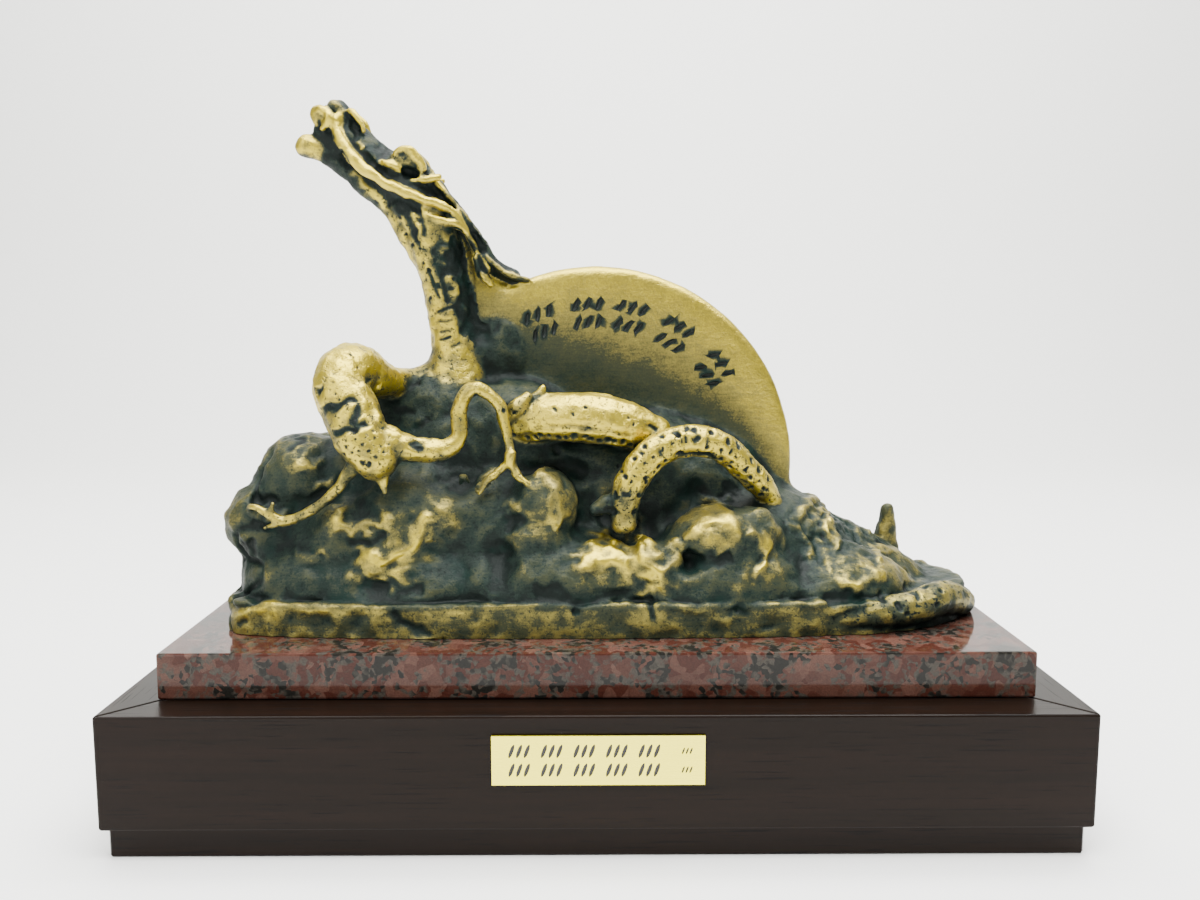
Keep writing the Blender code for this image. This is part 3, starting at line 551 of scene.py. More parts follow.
class PlateSettings(bpy.types.PropertyGroup):
    """Sizes and colours of the nameplate."""

    edge: number("Edge", "Width of the eased edge", 0.15 * MM, unit="LENGTH", precision=5)
    brush: number("Brushing", "Spacing of the brushed lines", 0.35 * MM, 0.1 * MM, unit="LENGTH",
                  precision=5)
    brass: colour("Brass", "Brushed and lacquered brass", "#fdf052")
    enamel: colour("Enamel", "Fill of the cut strokes", "#15120f")


class StageSettings(bpy.types.PropertyGroup):
    """The floor and the light."""

    paper: colour("Floor", "Plain pale floor", "#fcfcf8")
    softbox: number("Overhead light", "Power of the light above", 60.0, unit="POWER")
    fill: number("Fill light", "Power of the light beside the camera", 10.0, unit="POWER")
    sky: number("Room light", "Strength of the light from all round", 0.5)
    back: number("Back light", "Power of the light on the wall behind", 70.0, unit="POWER")


def settings(group):
    """The named group of settings in this scene."""
    return getattr(bpy.context.scene, group)


def add_node(tree, kind, links=None, **values):
    """Add a shader node, set its own values and fill or link its inputs."""
    node = tree.nodes.new("ShaderNode" + kind)
    stops = values.pop("stops", None)
    for name, value in values.items():
        setattr(node, name, value)
    if stops:
        ramp = node.color_ramp.elements
        while len(ramp) < len(stops):
            ramp.new(0.5)
        for element, (place, shade) in zip(ramp, stops):
            element.position = place
            element.color = (*shade, 1)
    for name, value in (links or {}).items():
        if isinstance(value, bpy.types.NodeSocket):
            tree.links.new(value, node.inputs[name])
        else:
            node.inputs[name].default_value = value
    return node


def grey(value):
    """A grey of that value."""
    return (value, value, value)


class Paint:
    """A node material in the making, with short ways to add its usual nodes."""

    def __init__(self, name):
        self.material = bpy.data.materials.new(name)
        self.material.use_nodes = True
        self.tree = self.material.node_tree
        self.place = self.add("TexCoord", "Object")

    def add(self, kind, output, links=None, **values):
        """One output of a new node."""
        return add_node(self.tree, kind, links, **values).outputs[output]

    def noise(self, size, detail=2, vector=None, roughness=0.5, output="Fac"):
        """Noise from 0 to 1 with grains of that size."""
        vector = self.place if vector is None else vector
        return self.add("TexNoise", output, {"Vector": vector, "Scale": 1 / size, "Detail": detail,
                                             "Roughness": roughness})

    def cells(self, size, vector, channel):
        """Flat cells of that size, each with a chance value from 0 to 1."""
        tints = self.add("TexVoronoi", "Color", {"Vector": vector, "Scale": 1 / size})
        return self.add("SeparateColor", channel, {"Color": tints})

    def drawn_out(self, scale):
        """Places squeezed by that scale, so that a pattern on them is drawn out."""
        return self.add("Mapping", "Vector", {"Vector": self.place, "Scale": scale})

    def spread(self, value, low=0, high=1, to_low=0, to_high=1):
        """A value from low to high brought to another range, and clamped to it."""
        return self.add("MapRange", "Result", {"Value": value, "From Min": low, "From Max": high,
                                               "To Min": to_low, "To Max": to_high})

    def math(self, operation, *values):
        return self.add("Math", 0, dict(enumerate(values)), operation=operation)

    def scaled(self, vector, factor):
        return self.add("VectorMath", "Vector", {0: vector, "Scale": factor}, operation="SCALE")

    def ramp(self, value, *stops):
        """A colour for each value, from stops of a place and a colour."""
        return self.add("ValToRGB", "Color", {"Fac": value}, stops=stops)

    def mix(self, share, below, above):
        """One colour over another."""
        return self.add("MixRGB", "Color", {"Fac": share, "Color1": below, "Color2": (*above, 1)})

    def bump(self, height, strength, distance, **more):
        """Normals of a skin with that height, over a given Normal if there is one."""
        invert = more.pop("invert", False)
        return self.add("Bump", "Normal", {"Height": height, "Strength": strength,
                                           "Distance": distance, **more}, invert=invert)

    def finish(self, **sockets):
        """Fill or link the shader's sockets; an underscore in a name stands for a space."""
        shader = self.tree.nodes["Principled BSDF"]
        for name, value in sockets.items():
            socket = shader.inputs[name.replace("_", " ")]
            if isinstance(value, bpy.types.NodeSocket):
                self.tree.links.new(value, socket)
            else:
                socket.default_value = value
        return self.material


def cast_bronze():
    """Cast bronze, patinated dark grey-green and rubbed back by hand: pale metal on all that
    stands out, olive on the slopes, teal in the hollows, with a satin, slightly pitted skin. Its map of
    rubbing also holds painted light and shade."""
    looks = settings("bronze_casting")
    paint = Paint("cast_bronze_rubbed_patina")

    def grain(size, detail, vector=None):
        return paint.noise(size, detail, vector, roughness=0.65)

    pitted = paint.add("Attribute", "Fac", attribute_name="pitted")
    mottle = grain(6 * MM, 6)
    stipple = grain(0.9 * MM, 4)
    streaks = grain(1.1 * MM, 3, paint.drawn_out((0.15, 1, 1)))
    specks = paint.math("MULTIPLY", paint.spread(grain(1.7 * MM, 2), 0.57, 0.64), pitted)
    # The map holds painted light on faces turned up and painted shade on limb sides, undersides and the
    # disc's lower front, as well as the rubbing.
    wear_and_painted_light = paint.add("Attribute", "Fac", attribute_name="rubbed")
    for pattern, weight in ((streaks, 0.26), (stipple, 0.40), (mottle, 0.36), (specks, -0.55)):
        wear_and_painted_light = paint.math("MULTIPLY_ADD", pattern, weight, wear_and_painted_light)
    wear_and_painted_light = paint.math("SUBTRACT", wear_and_painted_light, 0.51)
    shade = paint.ramp(wear_and_painted_light, (0.00, looks.deep), (0.20, looks.patina), (0.44, looks.brown),
                       (0.70, looks.dull), (0.98, looks.bright))
    bloom = paint.spread(grain(22 * MM, 3), 0.54, 0.68, to_high=0.6)
    low = paint.spread(wear_and_painted_light, 0.06, 0.26, to_low=1, to_high=0)
    shade = paint.mix(paint.math("MULTIPLY", bloom, low), shade, looks.verdigris)
    metal = paint.spread(wear_and_painted_light, 0.30, 0.80, to_low=0.10, to_high=0.95)
    gloss = paint.spread(wear_and_painted_light, 0.1, 0.9, to_low=0.48, to_high=0.33)
    gloss = paint.math("MULTIPLY_ADD", stipple, 0.12, gloss)
    skin = paint.bump(grain(3 * MM, 3), 0.5, 0.8 * MM)
    skin = paint.bump(stipple, 0.4, 0.25 * MM, Normal=skin)
    skin = paint.bump(specks, 0.5, 0.4 * MM, Normal=skin, invert=True)
    return paint.finish(Base_Color=shade, Metallic=metal, Roughness=gloss, Normal=skin,
                        Specular_IOR_Level=0.15)


def patina_in_cuts():
    """The same patina left whole in the cut strokes: nearly black and dull."""
    looks = settings("bronze_casting")
    paint = Paint("patina_in_the_strokes")
    shade = paint.ramp(paint.noise(2 * MM, 4), (0.3, looks.deep), (0.8, looks.patina))
    return paint.finish(Base_Color=shade, Metallic=0.2, Roughness=0.6)


def polished_granite():
    """Red granite, sawn and polished: a mirror gloss over interlocked red and pink feldspar,
    smoky quartz and clusters of black mica."""
    looks = settings("granite_slab")
    grain = looks.grain
    paint = Paint("red_granite_polished")
    bend = paint.noise(grain / 0.6, 3, output="Color")
    bent = paint.add("VectorMath", "Vector", {0: paint.place, 1: paint.scaled(bend, grain * 1.1)})
    feldspar = paint.ramp(paint.cells(grain, bent, "Red"), (0.0, looks.red), (0.45, looks.pale),
                          (0.7, looks.red), (1.0, looks.red))
    chance = paint.cells(grain / 2.6, bent, "Green")
    cluster = paint.noise(grain / 0.45, vector=bent)
    dark = paint.math("MULTIPLY", paint.math("MULTIPLY_ADD", cluster, 3.0, chance), 0.35)
    mica = paint.ramp(dark, (0.81, grey(0)), (0.87, grey(1)))
    smoky = paint.ramp(dark, (0.70, grey(0)), (0.79, grey(1)))
    body = paint.mix(mica, paint.mix(smoky, feldspar, looks.grey), looks.dark)
    tone = paint.spread(paint.noise(grain / 8, vector=bent), 0.3, 0.7, to_low=0.75, to_high=1.2)
    return paint.finish(Base_Color=paint.scaled(body, tone), Roughness=0.09, Specular_IOR_Level=0.16)


def stained_wood(name, across):
    """Dark stained hardwood under satin lacquer: long fine grain with open pores as short dark
    dashes. The pattern is drawn out along the rail, so across says how it is squeezed."""
    looks = settings("wooden_plinth")
    paint = Paint(name)
    drawn = paint.drawn_out(across)
    bands = paint.noise(looks.pore / 0.2, 5, drawn, roughness=0.6)
    tone = paint.ramp(bands, (0.35, looks.stain), (0.68, looks.light))
    pores = paint.spread(paint.noise(looks.pore, 2, drawn), 0.60, 0.68)
    shade = paint.mix(pores, tone, looks.pores)
    gloss = paint.spread(pores, to_low=0.30, to_high=0.5)
    sunk = paint.bump(pores, 0.25, 0.1 * MM, invert=True)
    return paint.finish(Base_Color=shade, Roughness=gloss, Normal=sunk, Specular_IOR_Level=0.1)


def brushed_brass():
    """Sheet brass, brushed along its length and lacquered: bright, with fine drawn-out gloss."""
    looks = settings("brass_nameplate")
    paint = Paint("brass_sheet_brushed")
    lines = paint.noise(looks.brush, 3, paint.drawn_out((0.02, 1, 1)))
    gloss = paint.spread(lines, 0.3, 0.7, to_low=0.20, to_high=0.34)
    tone = paint.spread(lines, 0.3, 0.7, to_low=0.92, to_high=1.04)
    fine = paint.bump(lines, 0.15, 0.05 * MM)
    return paint.finish(Base_Color=paint.scaled(tuple(looks.brass), tone), Metallic=1.0,
                        Roughness=gloss, Normal=fine)


def black_enamel():
    """Black enamel run into the cut strokes: dark, with a soft gloss."""
    paint = Paint("black_enamel_fill")
    gloss = paint.spread(paint.noise(2 * MM), to_low=0.3, to_high=0.5)
    return paint.finish(Base_Color=(*settings("brass_nameplate").enamel, 1), Roughness=gloss)


def matt_paper():
    """Seamless matt paper: even, with no gloss."""
    paint = Paint("matt_paper")
    gloss = paint.spread(paint.noise(1 / 60), to_low=0.8, to_high=0.95)
    return paint.finish(Base_Color=(*settings("plain_stage").paper, 1), Roughness=gloss)


def link(name, data):
    """A new object in the scene, with that name and data."""
    piece = bpy.data.objects.new(name, data)
    bpy.context.collection.objects.link(piece)
    return piece


def to_mesh(name, shape):
    """Turn a worked shape into a mesh and let the shape go."""
    mesh = bpy.data.meshes.new(name)
    shape.to_mesh(mesh)
    shape.free()
    return mesh


def add_lump(clay, lump):
    """Press one rounded mass onto the clay."""
    x, y, z, half_x, half_y, half_z = lump
    place = Matrix.LocRotScale((x, y, z), None, (half_x, half_y, half_z))
    bmesh.ops.create_icosphere(clay, subdivisions=4, radius=1, matrix=place)


def add_curve(clay, curve):
    """Turn a curve into mesh and add it to the clay."""
    guide = link("guide", curve)
    mesh = bpy.data.meshes.new_from_object(guide)
    clay.from_mesh(mesh)
    bpy.data.objects.remove(guide)
    bpy.data.curves.remove(curve)
    bpy.data.meshes.remove(mesh)


def add_roll(clay, stations):
    """Roll out a round limb through its stations, with round ends."""
    curve = bpy.data.curves.new("roll", "CURVE")
    curve.dimensions = "3D"
    curve.bevel_depth = 1
    curve.bevel_resolution = 4
    curve.resolution_u = 6
    curve.use_fill_caps = True
    spline = curve.splines.new("BEZIER")
    spline.bezier_points.add(len(stations) - 1)
    spline.radius_interpolation = "CARDINAL"
    for point, (x, y, z, radius) in zip(spline.bezier_points, stations):
        point.co = (x, y, z)
        point.radius = radius
        point.handle_left_type = "AUTO"
        point.handle_right_type = "AUTO"
    add_curve(clay, curve)
    for x, y, z, radius in (stations[0], stations[-1]):
        add_lump(clay, (x, y, z, radius, radius, radius))


def far_side(stations):
    """The like of a limb on the far side of the head."""
    return [(x, 2 * HEAD_MIDDLE - y, z, radius) for x, y, z, radius in stations]


def add_foot(clay):
    """The broad foot with its lip, from a smooth closed outline."""
    curve = bpy.data.curves.new("foot", "CURVE")
    curve.dimensions = "2D"
    curve.fill_mode = "BOTH"
    curve.extrude = FOOT_HEIGHT - FOOT_EDGE
    curve.bevel_depth = FOOT_EDGE
    curve.offset = -FOOT_EDGE
    spline = curve.splines.new("BEZIER")
    spline.use_cyclic_u = True
    spline.bezier_points.add(len(FOOT_OUTLINE) - 1)
    for point, (x, y) in zip(spline.bezier_points, FOOT_OUTLINE):
        point.co = (x, y, 0)
        point.handle_left_type = "AUTO"
        point.handle_right_type = "AUTO"
    add_curve(clay, curve)


def add_disc(clay):
    """The sun disc, a round slab standing on edge."""
    place = Matrix.Translation(DISC_CENTRE) @ Matrix.Rotation(math.pi / 2, 4, "X")
    disc = bmesh.ops.create_cone(clay, cap_ends=True, segments=96, radius1=DISC_RADIUS,
                                 radius2=DISC_RADIUS, depth=DISC_THICKNESS, matrix=place)
    corners = set(disc["verts"])
    rims = [edge for edge in clay.edges if set(edge.verts) <= corners
            and abs(edge.verts[0].co.y - edge.verts[1].co.y) < GAP]
    bmesh.ops.bevel(clay, geom=rims, offset=DISC_EDGE, affect="EDGES", segments=3, profile=0.5,
                    material=-1)


def evaluated(mesh, **modifiers):
    """A new mesh: this one after the modifiers, given by kind with their values."""
    piece = link("clay", mesh)
    for kind, values in modifiers.items():
        modifier = piece.modifiers.new(kind, kind)
        for name, value in values.items():
            setattr(modifier, name, value)
    graph = bpy.context.evaluated_depsgraph_get()
    result = bpy.data.meshes.new_from_object(piece.evaluated_get(graph))
    bpy.data.objects.remove(piece)
    return result


def fuse(clay, grain, softness):
    """Fuse separate masses into one skin and soften it."""
    return evaluated(to_mesh("clay", clay), REMESH={"mode": "VOXEL", "voxel_size": grain},
                     SMOOTH={"factor": 0.5, "iterations": softness})


def model_rock():
    """Rock, disc and neck run into each other softly."""
    clay = bmesh.new()
    add_disc(clay)
    for lump in ROCK_MASSES + BACK_ROCKS + BOULDERS + WEB:
        add_lump(clay, lump)
    add_roll(clay, SLOPE)
    add_roll(clay, NECK)
    return fuse(clay, ROCK_GRAIN, ROCK_SOFTNESS)


def model_clay(grain):
    """The rock on its foot, with the dragon's limbs laid on it."""
    clay = bmesh.new()
    clay.from_mesh(model_rock())
    add_foot(clay)
    limbs = [LIP, MANE, SNOUT, MOUTH, JAW, THROAT, ARCH, ARM, HIND_LEG, BODY, TAIL, TAIL_TIP]
    limbs += CLAWS + HIND_CLAWS + TUFTS + SMALL_FORMS
    for form in HEAD_FORMS:
        limbs += [form, far_side(form)]
    for limb in limbs:
        add_roll(clay, limb)
    return fuse(clay, grain, CLAY_SOFTNESS)


def read(items, name, width, kind=float):
    """One property of a mesh's points or edges as an array."""
    values = np.empty(len(items) * width, kind)
    items.foreach_get(name, values)
    return values.reshape(-1, width)


def centre_line(stations, steps=8):
    """A smooth line through a limb's stations, as many x, y, z, radius."""
    ends = np.array([stations[0], *stations, stations[-1]], float)
    line = []
    for a, b, c, d in zip(ends, ends[1:], ends[2:], ends[3:]):
        for t in np.arange(steps) / steps:
            line.append(0.5 * (2 * b + (c - a) * t + (2 * a - 5 * b + 4 * c - d) * t ** 2
                               + (3 * b - a - 3 * c + d) * t ** 3))
    return np.array([*line, ends[-1]])


def noise_at(points, size):
    """Smooth noise from -1 to 1 at each point, with bumps of that size."""
    return np.fromiter((noise.noise(point) for point in (points / size).tolist()), float)


def ease(values):
    """Clip to 0..1 and ease both ends."""
    values = np.clip(values, 0, 1)
    return values * values * (3 - 2 * values)


class Skin:
    """The clay's surface as arrays: its points, normals and how far each is rubbed, a map that also holds
    painted light and shade.
    """

    def __init__(self, mesh, relief, fineness):
        self.mesh = mesh
        self.relief = relief
        self.fineness = fineness
        self.points = read(mesh.vertices, "co", 3)
        self.normals = read(mesh.vertices, "normal", 3)
        self.rub = np.full(len(self.points), FIRST_RUB)
        self.warp = np.stack([noise_at(self.points + 200, 5), noise_at(self.points + 300, 5)], axis=1)
        self.broken = 0.9 + 0.6 * noise_at(self.points * (0.6, 1, 1.6), 3.5)

    def settle(self):
        """Put the points back into the mesh and take the normals again."""
        self.mesh.vertices.foreach_set("co", self.points.ravel())
        self.mesh.update()
        self.normals = read(self.mesh.vertices, "normal", 3)

    def standing_out(self, rounds):
        """How far each point stands out from the smoothed form."""
        rounds = round(rounds * self.fineness ** 2)
        soft = evaluated(self.mesh, SMOOTH={"factor": 0.5, "iterations": rounds})
        away = self.points - read(soft.vertices, "co", 3)
        bpy.data.meshes.remove(soft)
        return (away * self.normals).sum(axis=1)

    def work(self, near, falloff, height, rub):
        """Raise and rub the near points, each as much as the falloff says."""
        self.points[near] += self.normals[near] * (falloff * height * self.relief)[:, None]
        self.rub[near] += falloff * rub

    def press_hollows(self):
        """Push the clay in where the hollows are."""
        for x, y, z, half_x, half_y, half_z, depth in HOLLOWS:
            away = (self.points - (x, y, z)) / (half_x, half_y, half_z)
            falloff = np.clip(1 - (away ** 2).sum(axis=1), 0, None) ** 2
            self.points[:, 1] += depth * falloff
            self.rub -= 0.02 * abs(depth) * falloff

    def in_front(self, path, margin, depths):
        """Numbers of the points that face the front near a path given as x, z."""
        path = np.array(path)
        low = path.min(axis=0) - margin
        high = path.max(axis=0) + margin
        x, y, z = self.points.T
        near = (x > low[0]) & (x < high[0]) & (z > low[1]) & (z < high[1])
        near &= (y > depths[0]) & (y < depths[1]) & (self.normals[:, 1] < 0.15)
        return np.flatnonzero(near)

    def draw(self, marks, depths, weight):
        """Raise ridges, cut grooves and rub smears along paths seen from the front. They waver as
        a tool in wax does, and thin out at both ends."""
        for half_width, height, rub, path in marks:
            near = self.in_front(path, half_width * 2.5, depths)
            flat = self.points[near][:, [0, 2]] + self.warp[near] * (half_width * 1.1)
            distance = np.full(len(near), np.inf)
            along = np.zeros(len(near))
            reached = 0
            for start, end in zip(np.array(path, float), np.array(path[1:], float)):
                run = end - start
                share = np.clip(((flat - start) @ run) / (run @ run), 0, 1)
                away = np.linalg.norm(flat - start - share[:, None] * run, axis=1)
                length = np.linalg.norm(run)
                along = np.where(away < distance, reached + share * length, along)
                distance = np.minimum(distance, away)
                reached += length
            taper = ease(0.25 + np.minimum(along, reached - along) / (1.5 * half_width))
            falloff = ease(1 - distance / (half_width * 1.7)) * taper * weight[near]
            self.work(near, falloff, height, rub * self.broken[near])

    def pit(self, groups, depths):
        """Prick small pits at places seen from the front."""
        for radius, depth, rub, places in groups:
            for place in places:
                near = self.in_front([place], radius * 3, depths)
                flat = self.points[near][:, [0, 2]] + self.warp[near] * radius * 1.5
                falloff = ease(1.5 - np.linalg.norm(flat - place, axis=1) / radius)
                self.work(near, falloff, -depth, rub)

    def notch_row(self, stations, row, seed):
        """A row of notches along a limb, at one turn round it from the front."""
        turn, spacing, radius, depth, darkening = row
        chance = np.random.default_rng(seed)
        line = centre_line(stations)
        runs = np.linalg.norm(np.diff(line[:, :3], axis=0), axis=1)
        reached = np.concatenate([[0], np.cumsum(runs)])
        for distance in np.arange(spacing, reached[-1] - spacing, spacing):
            distance += chance.uniform(-0.2, 0.2) * spacing
            angle = math.radians(turn + chance.uniform(-8, 8))
            x, y, z, limb_radius = [np.interp(distance, reached, line[:, k]) for k in range(4)]
            ahead = [np.interp(distance + 1, reached, line[:, k]) for k in range(3)]
            along = np.array(ahead) - (x, y, z)
            along /= np.linalg.norm(along)
            front = np.array((0, -1, 0)) + along * along[1]
            front /= np.linalg.norm(front)
            up = np.cross(along, front)
            up *= np.sign(up[2]) or 1
            centre = (x, y, z) + limb_radius * (math.cos(angle) * front + math.sin(angle) * up)
            size = radius * chance.uniform(0.55, 1.2)
            away = self.points - centre
            near = np.flatnonzero((away ** 2).sum(axis=1) < (4 * radius) ** 2)
            away = away[near]
            stretch = away - np.outer(away @ up, up) * 0.6
            stretch[:, [0, 2]] += self.warp[near] * size
            falloff = ease(1.5 - np.linalg.norm(stretch, axis=1) / size)
            self.work(near, falloff, -depth, -darkening)

    def on_limb(self, stations):
        """How much each point belongs to a limb, from 0 to 1, with those points' numbers."""
        line = centre_line(stations)
        reach = line[:, 3].max() * LIMB_REACH
        low = line[:, :3].min(axis=0) - reach
        high = line[:, :3].max(axis=0) + reach
        near = np.flatnonzero(((self.points > low) & (self.points < high)).all(axis=1))
        distance = np.linalg.norm(self.points[near][:, None] - line[None, :, :3], axis=2) / line[:, 3]
        return near, ease((LIMB_REACH - distance.min(axis=1)) / LIMB_FADE)


def disc_share(points):
    """How much each point belongs to the disc's free part, and whether that is its front."""
    x, y, z = points.T
    centre_x, centre_y, centre_z = DISC_CENTRE
    depth = np.abs(y - centre_y)
    from_centre = np.hypot(x - centre_x, z - centre_z)
    flat = ease(1.6 - np.abs(depth - DISC_THICKNESS / 2)) * (from_centre < DISC_RADIUS)
    rim = ease((from_centre - DISC_RADIUS + DISC_EDGE + 2) / 2) * (depth < DISC_THICKNESS / 2 + 1)
    return np.maximum(flat, rim) * (z > DISC_LOWEST) * (x > DISC_LEFTMOST), y < centre_y


def share_out(skin):
    """Say how much each point belongs to a limb, the disc or the rock, and rub the limbs."""
    count = len(skin.points)
    limb_rub = np.zeros(count)
    skin.limb = np.zeros(count)
    skin.pitted = np.full(count, ROCK_PITTED)
    for stations, rub, pits in LIMB_RUBS:
        for side in (stations, far_side(stations)) if stations in HEAD_FORMS else (stations,):
            near, belongs = skin.on_limb(side)
            limb_rub[near] += (rub - limb_rub[near]) * belongs
            skin.pitted[near] += (pits - skin.pitted[near]) * belongs
            skin.limb[near] = np.maximum(skin.limb[near], belongs)
    skin.rub += skin.limb * (limb_rub - skin.rub)
    disc, skin.front = disc_share(skin.points)
    skin.disc = disc * (1 - skin.limb)
    skin.pitted *= 1 - 0.8 * skin.disc
    skin.rock = 1 - np.maximum(skin.limb, skin.disc)


def roughen(skin):
    """Make rock, limbs and disc as uneven as each is, with creases on the rock that's unseen."""
    rock, limb, disc = skin.rock, skin.limb, skin.disc
    x, y, z = skin.points.T
    rough_x, rough_z, rough_width, rough_height = ROUGH_PATCH
    rough = ease(1.4 - np.hypot((x - rough_x) / rough_width, (z - rough_z) / rough_height)) * (y < 0)
    skin.broad = noise_at(skin.points, 13)
    skin.drawn = noise_at(skin.points * (0.2, 1, 1.5), 4)
    middle = noise_at(skin.points + 40, 5)
    fine = noise_at(skin.points + 80, 2)
    height = rock * (0.7 * (1 - 2.6 * np.abs(skin.broad)) + (0.5 + 0.5 * rough) * middle)
    height += rock * 0.6 * noise_at(skin.points + 120, 8)
    height += (rock * (0.16 + 0.35 * rough) + limb * 0.22 + disc * 0.04) * fine
    height += limb * 0.6 * middle + disc * 0.25 * skin.broad
    unseen = np.maximum(ease((y - 4) / 16), ease((-156 - x) / 8))
    height -= rock * unseen * 1.8 * ease(1 - 5 * np.abs(noise_at(skin.points + 240, 18)))
    skin.points += skin.normals * (height * skin.relief)[:, None]
    skin.settle()


def rub_and_shade_disc(skin):
    """Paint the disc's front lighter above its shade line and darker below it, and rub it towards its rim;
    rub the back at its rim alone.
    """
    x, y, z = skin.points.T
    # Painted light and shade: the front is lighter above the shade line and darker below it.
    lit = ease((z - np.interp(x, *np.array(DISC_SHADE, float).T)) / DISC_FADE + 0.5)
    outer = ease((np.hypot(x - DISC_CENTRE[0], z - DISC_CENTRE[2]) - 66) / 26)
    skin.rub += skin.disc * np.where(skin.front, 0.17 + 0.35 * lit + 0.22 * outer,
                                     0.14 + 0.42 * outer ** 2)


def rub_back_and_paint_light(skin):
    """Rub what stands out, paint light on what faces up, and paint shade where a limb turns away from the
    front or faces down.
    """
    rock, limb, disc = skin.rock, skin.limb, skin.disc
    for rounds, full, rock_rub, limb_rub, disc_rub, limb_most in STANDING_OUT:
        out = np.clip(skin.standing_out(rounds) / full, -1, 1)
        skin.rub += out * (rock_rub * rock + disc_rub * disc)
        skin.rub += np.minimum(out, limb_most) * limb_rub * limb
    x, y, z = skin.points.T
    # Painted light and shade: faces turned up are lighter, limb faces turned away from the front are darker.
    facing = np.clip(skin.normals[:, 2], -1, 1)
    turned_away_shade = ease((skin.normals[:, 1] + 0.6) / 0.6) * ease(0.9 - facing) * np.where(y < -20, 0.5, 0.15)
    dulled = ease((noise_at(skin.points + 160, 6) + 0.05) / 0.4)
    skin.rub -= limb * (turned_away_shade + 0.28 * dulled)
    # Painted light on all that faces up, painted shade under the limbs.
    skin.rub += 0.10 * facing * (1 - 0.5 * disc) + 0.30 * np.minimum(facing + 0.3, 0) * limb
    foot_front = ease((-y - 48) / 8)
    foot_rub = ease((14 - z) / 3) * (0.44 + 0.16 * skin.drawn) - 0.12 * ease((19 - z) / 3)
    skin.rub += 0.10 * skin.broad * rock + rock * foot_front * foot_rub


def work_surface(skin):
    """Model the relief and decide where the patina is rubbed off, where light and shade are painted into it
    and where the skin is pitted.
    """
    skin.press_hollows()
    skin.settle()
    share_out(skin)
    roughen(skin)
    rub_and_shade_disc(skin)
    everywhere = np.ones(len(skin.points))
    for on_rock, depths, marks, pits in REGIONS:
        skin.draw(marks, depths, skin.rock if on_rock else everywhere)
    for on_rock, depths, marks, pits in REGIONS:
        skin.pit(pits, depths)
    for seed, (stations, row) in enumerate(NOTCH_ROWS, 1):
        skin.notch_row(stations, row, seed)
    skin.settle()
    rub_back_and_paint_light(skin)


def add_strokes(clay):
    """The strokes on the disc's front, as lens shapes half sunk in it."""
    centre_x, centre_y, centre_z = DISC_CENTRE
    face = centre_y - DISC_THICKNESS / 2
    for turn in STROKE_TURNS:
        for row in (-1, 1):
            for step in (-1, 0, 1):
                angle = math.radians(turn + step * STROKE_STEP)
                radius = STROKE_RADIUS + row * STROKE_ROW
                x = centre_x + radius * math.sin(angle)
                z = centre_z + radius * math.cos(angle)
                lean = Matrix.Rotation(math.radians(turn + STROKE_LEAN), 3, "Y")
                place = Matrix.LocRotScale((x, face, z), lean, STROKE_SIZE)
                bmesh.ops.create_icosphere(clay, subdivisions=2, radius=1, matrix=place)


def cut(mesh, shape, fill):
    """A new mesh with the shape cut out of it; the cut faces take the fill material."""
    cutter = link("cutter", to_mesh("cutter", shape))
    cutter.data.materials.append(fill)
    result = evaluated(mesh, BOOLEAN={"operation": "DIFFERENCE", "solver": "EXACT",
                                      "material_mode": "TRANSFER", "object": cutter})
    bpy.data.objects.remove(cutter)
    return result


def flatten_underside(mesh):
    """Cut off all below the foot and close it flat."""
    shape = bmesh.new()
    shape.from_mesh(mesh)
    everything = shape.verts[:] + shape.edges[:] + shape.faces[:]
    sliced = bmesh.ops.bisect_plane(shape, geom=everything, plane_co=(0, 0, 0), plane_no=(0, 0, 1),
                                    clear_inner=True)
    rim = [item for item in sliced["geom_cut"] if isinstance(item, bmesh.types.BMEdge)]
    bmesh.ops.holes_fill(shape, edges=rim)
    bmesh.ops.triangulate(shape, faces=[face for face in shape.faces if len(face.verts) > 4])
    shape.to_mesh(mesh)
    shape.free()


def place_piece(name, mesh, node):
    """Put a finished mesh in the scene as the piece that stands for a node."""
    piece = link(name, mesh)
    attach(piece, "root")
    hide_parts(node)
    return piece


def finish_node(node, material):
    """Give a piece that keeps its solid's shape its finish."""
    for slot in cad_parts[node].material_slots:
        slot.material = material


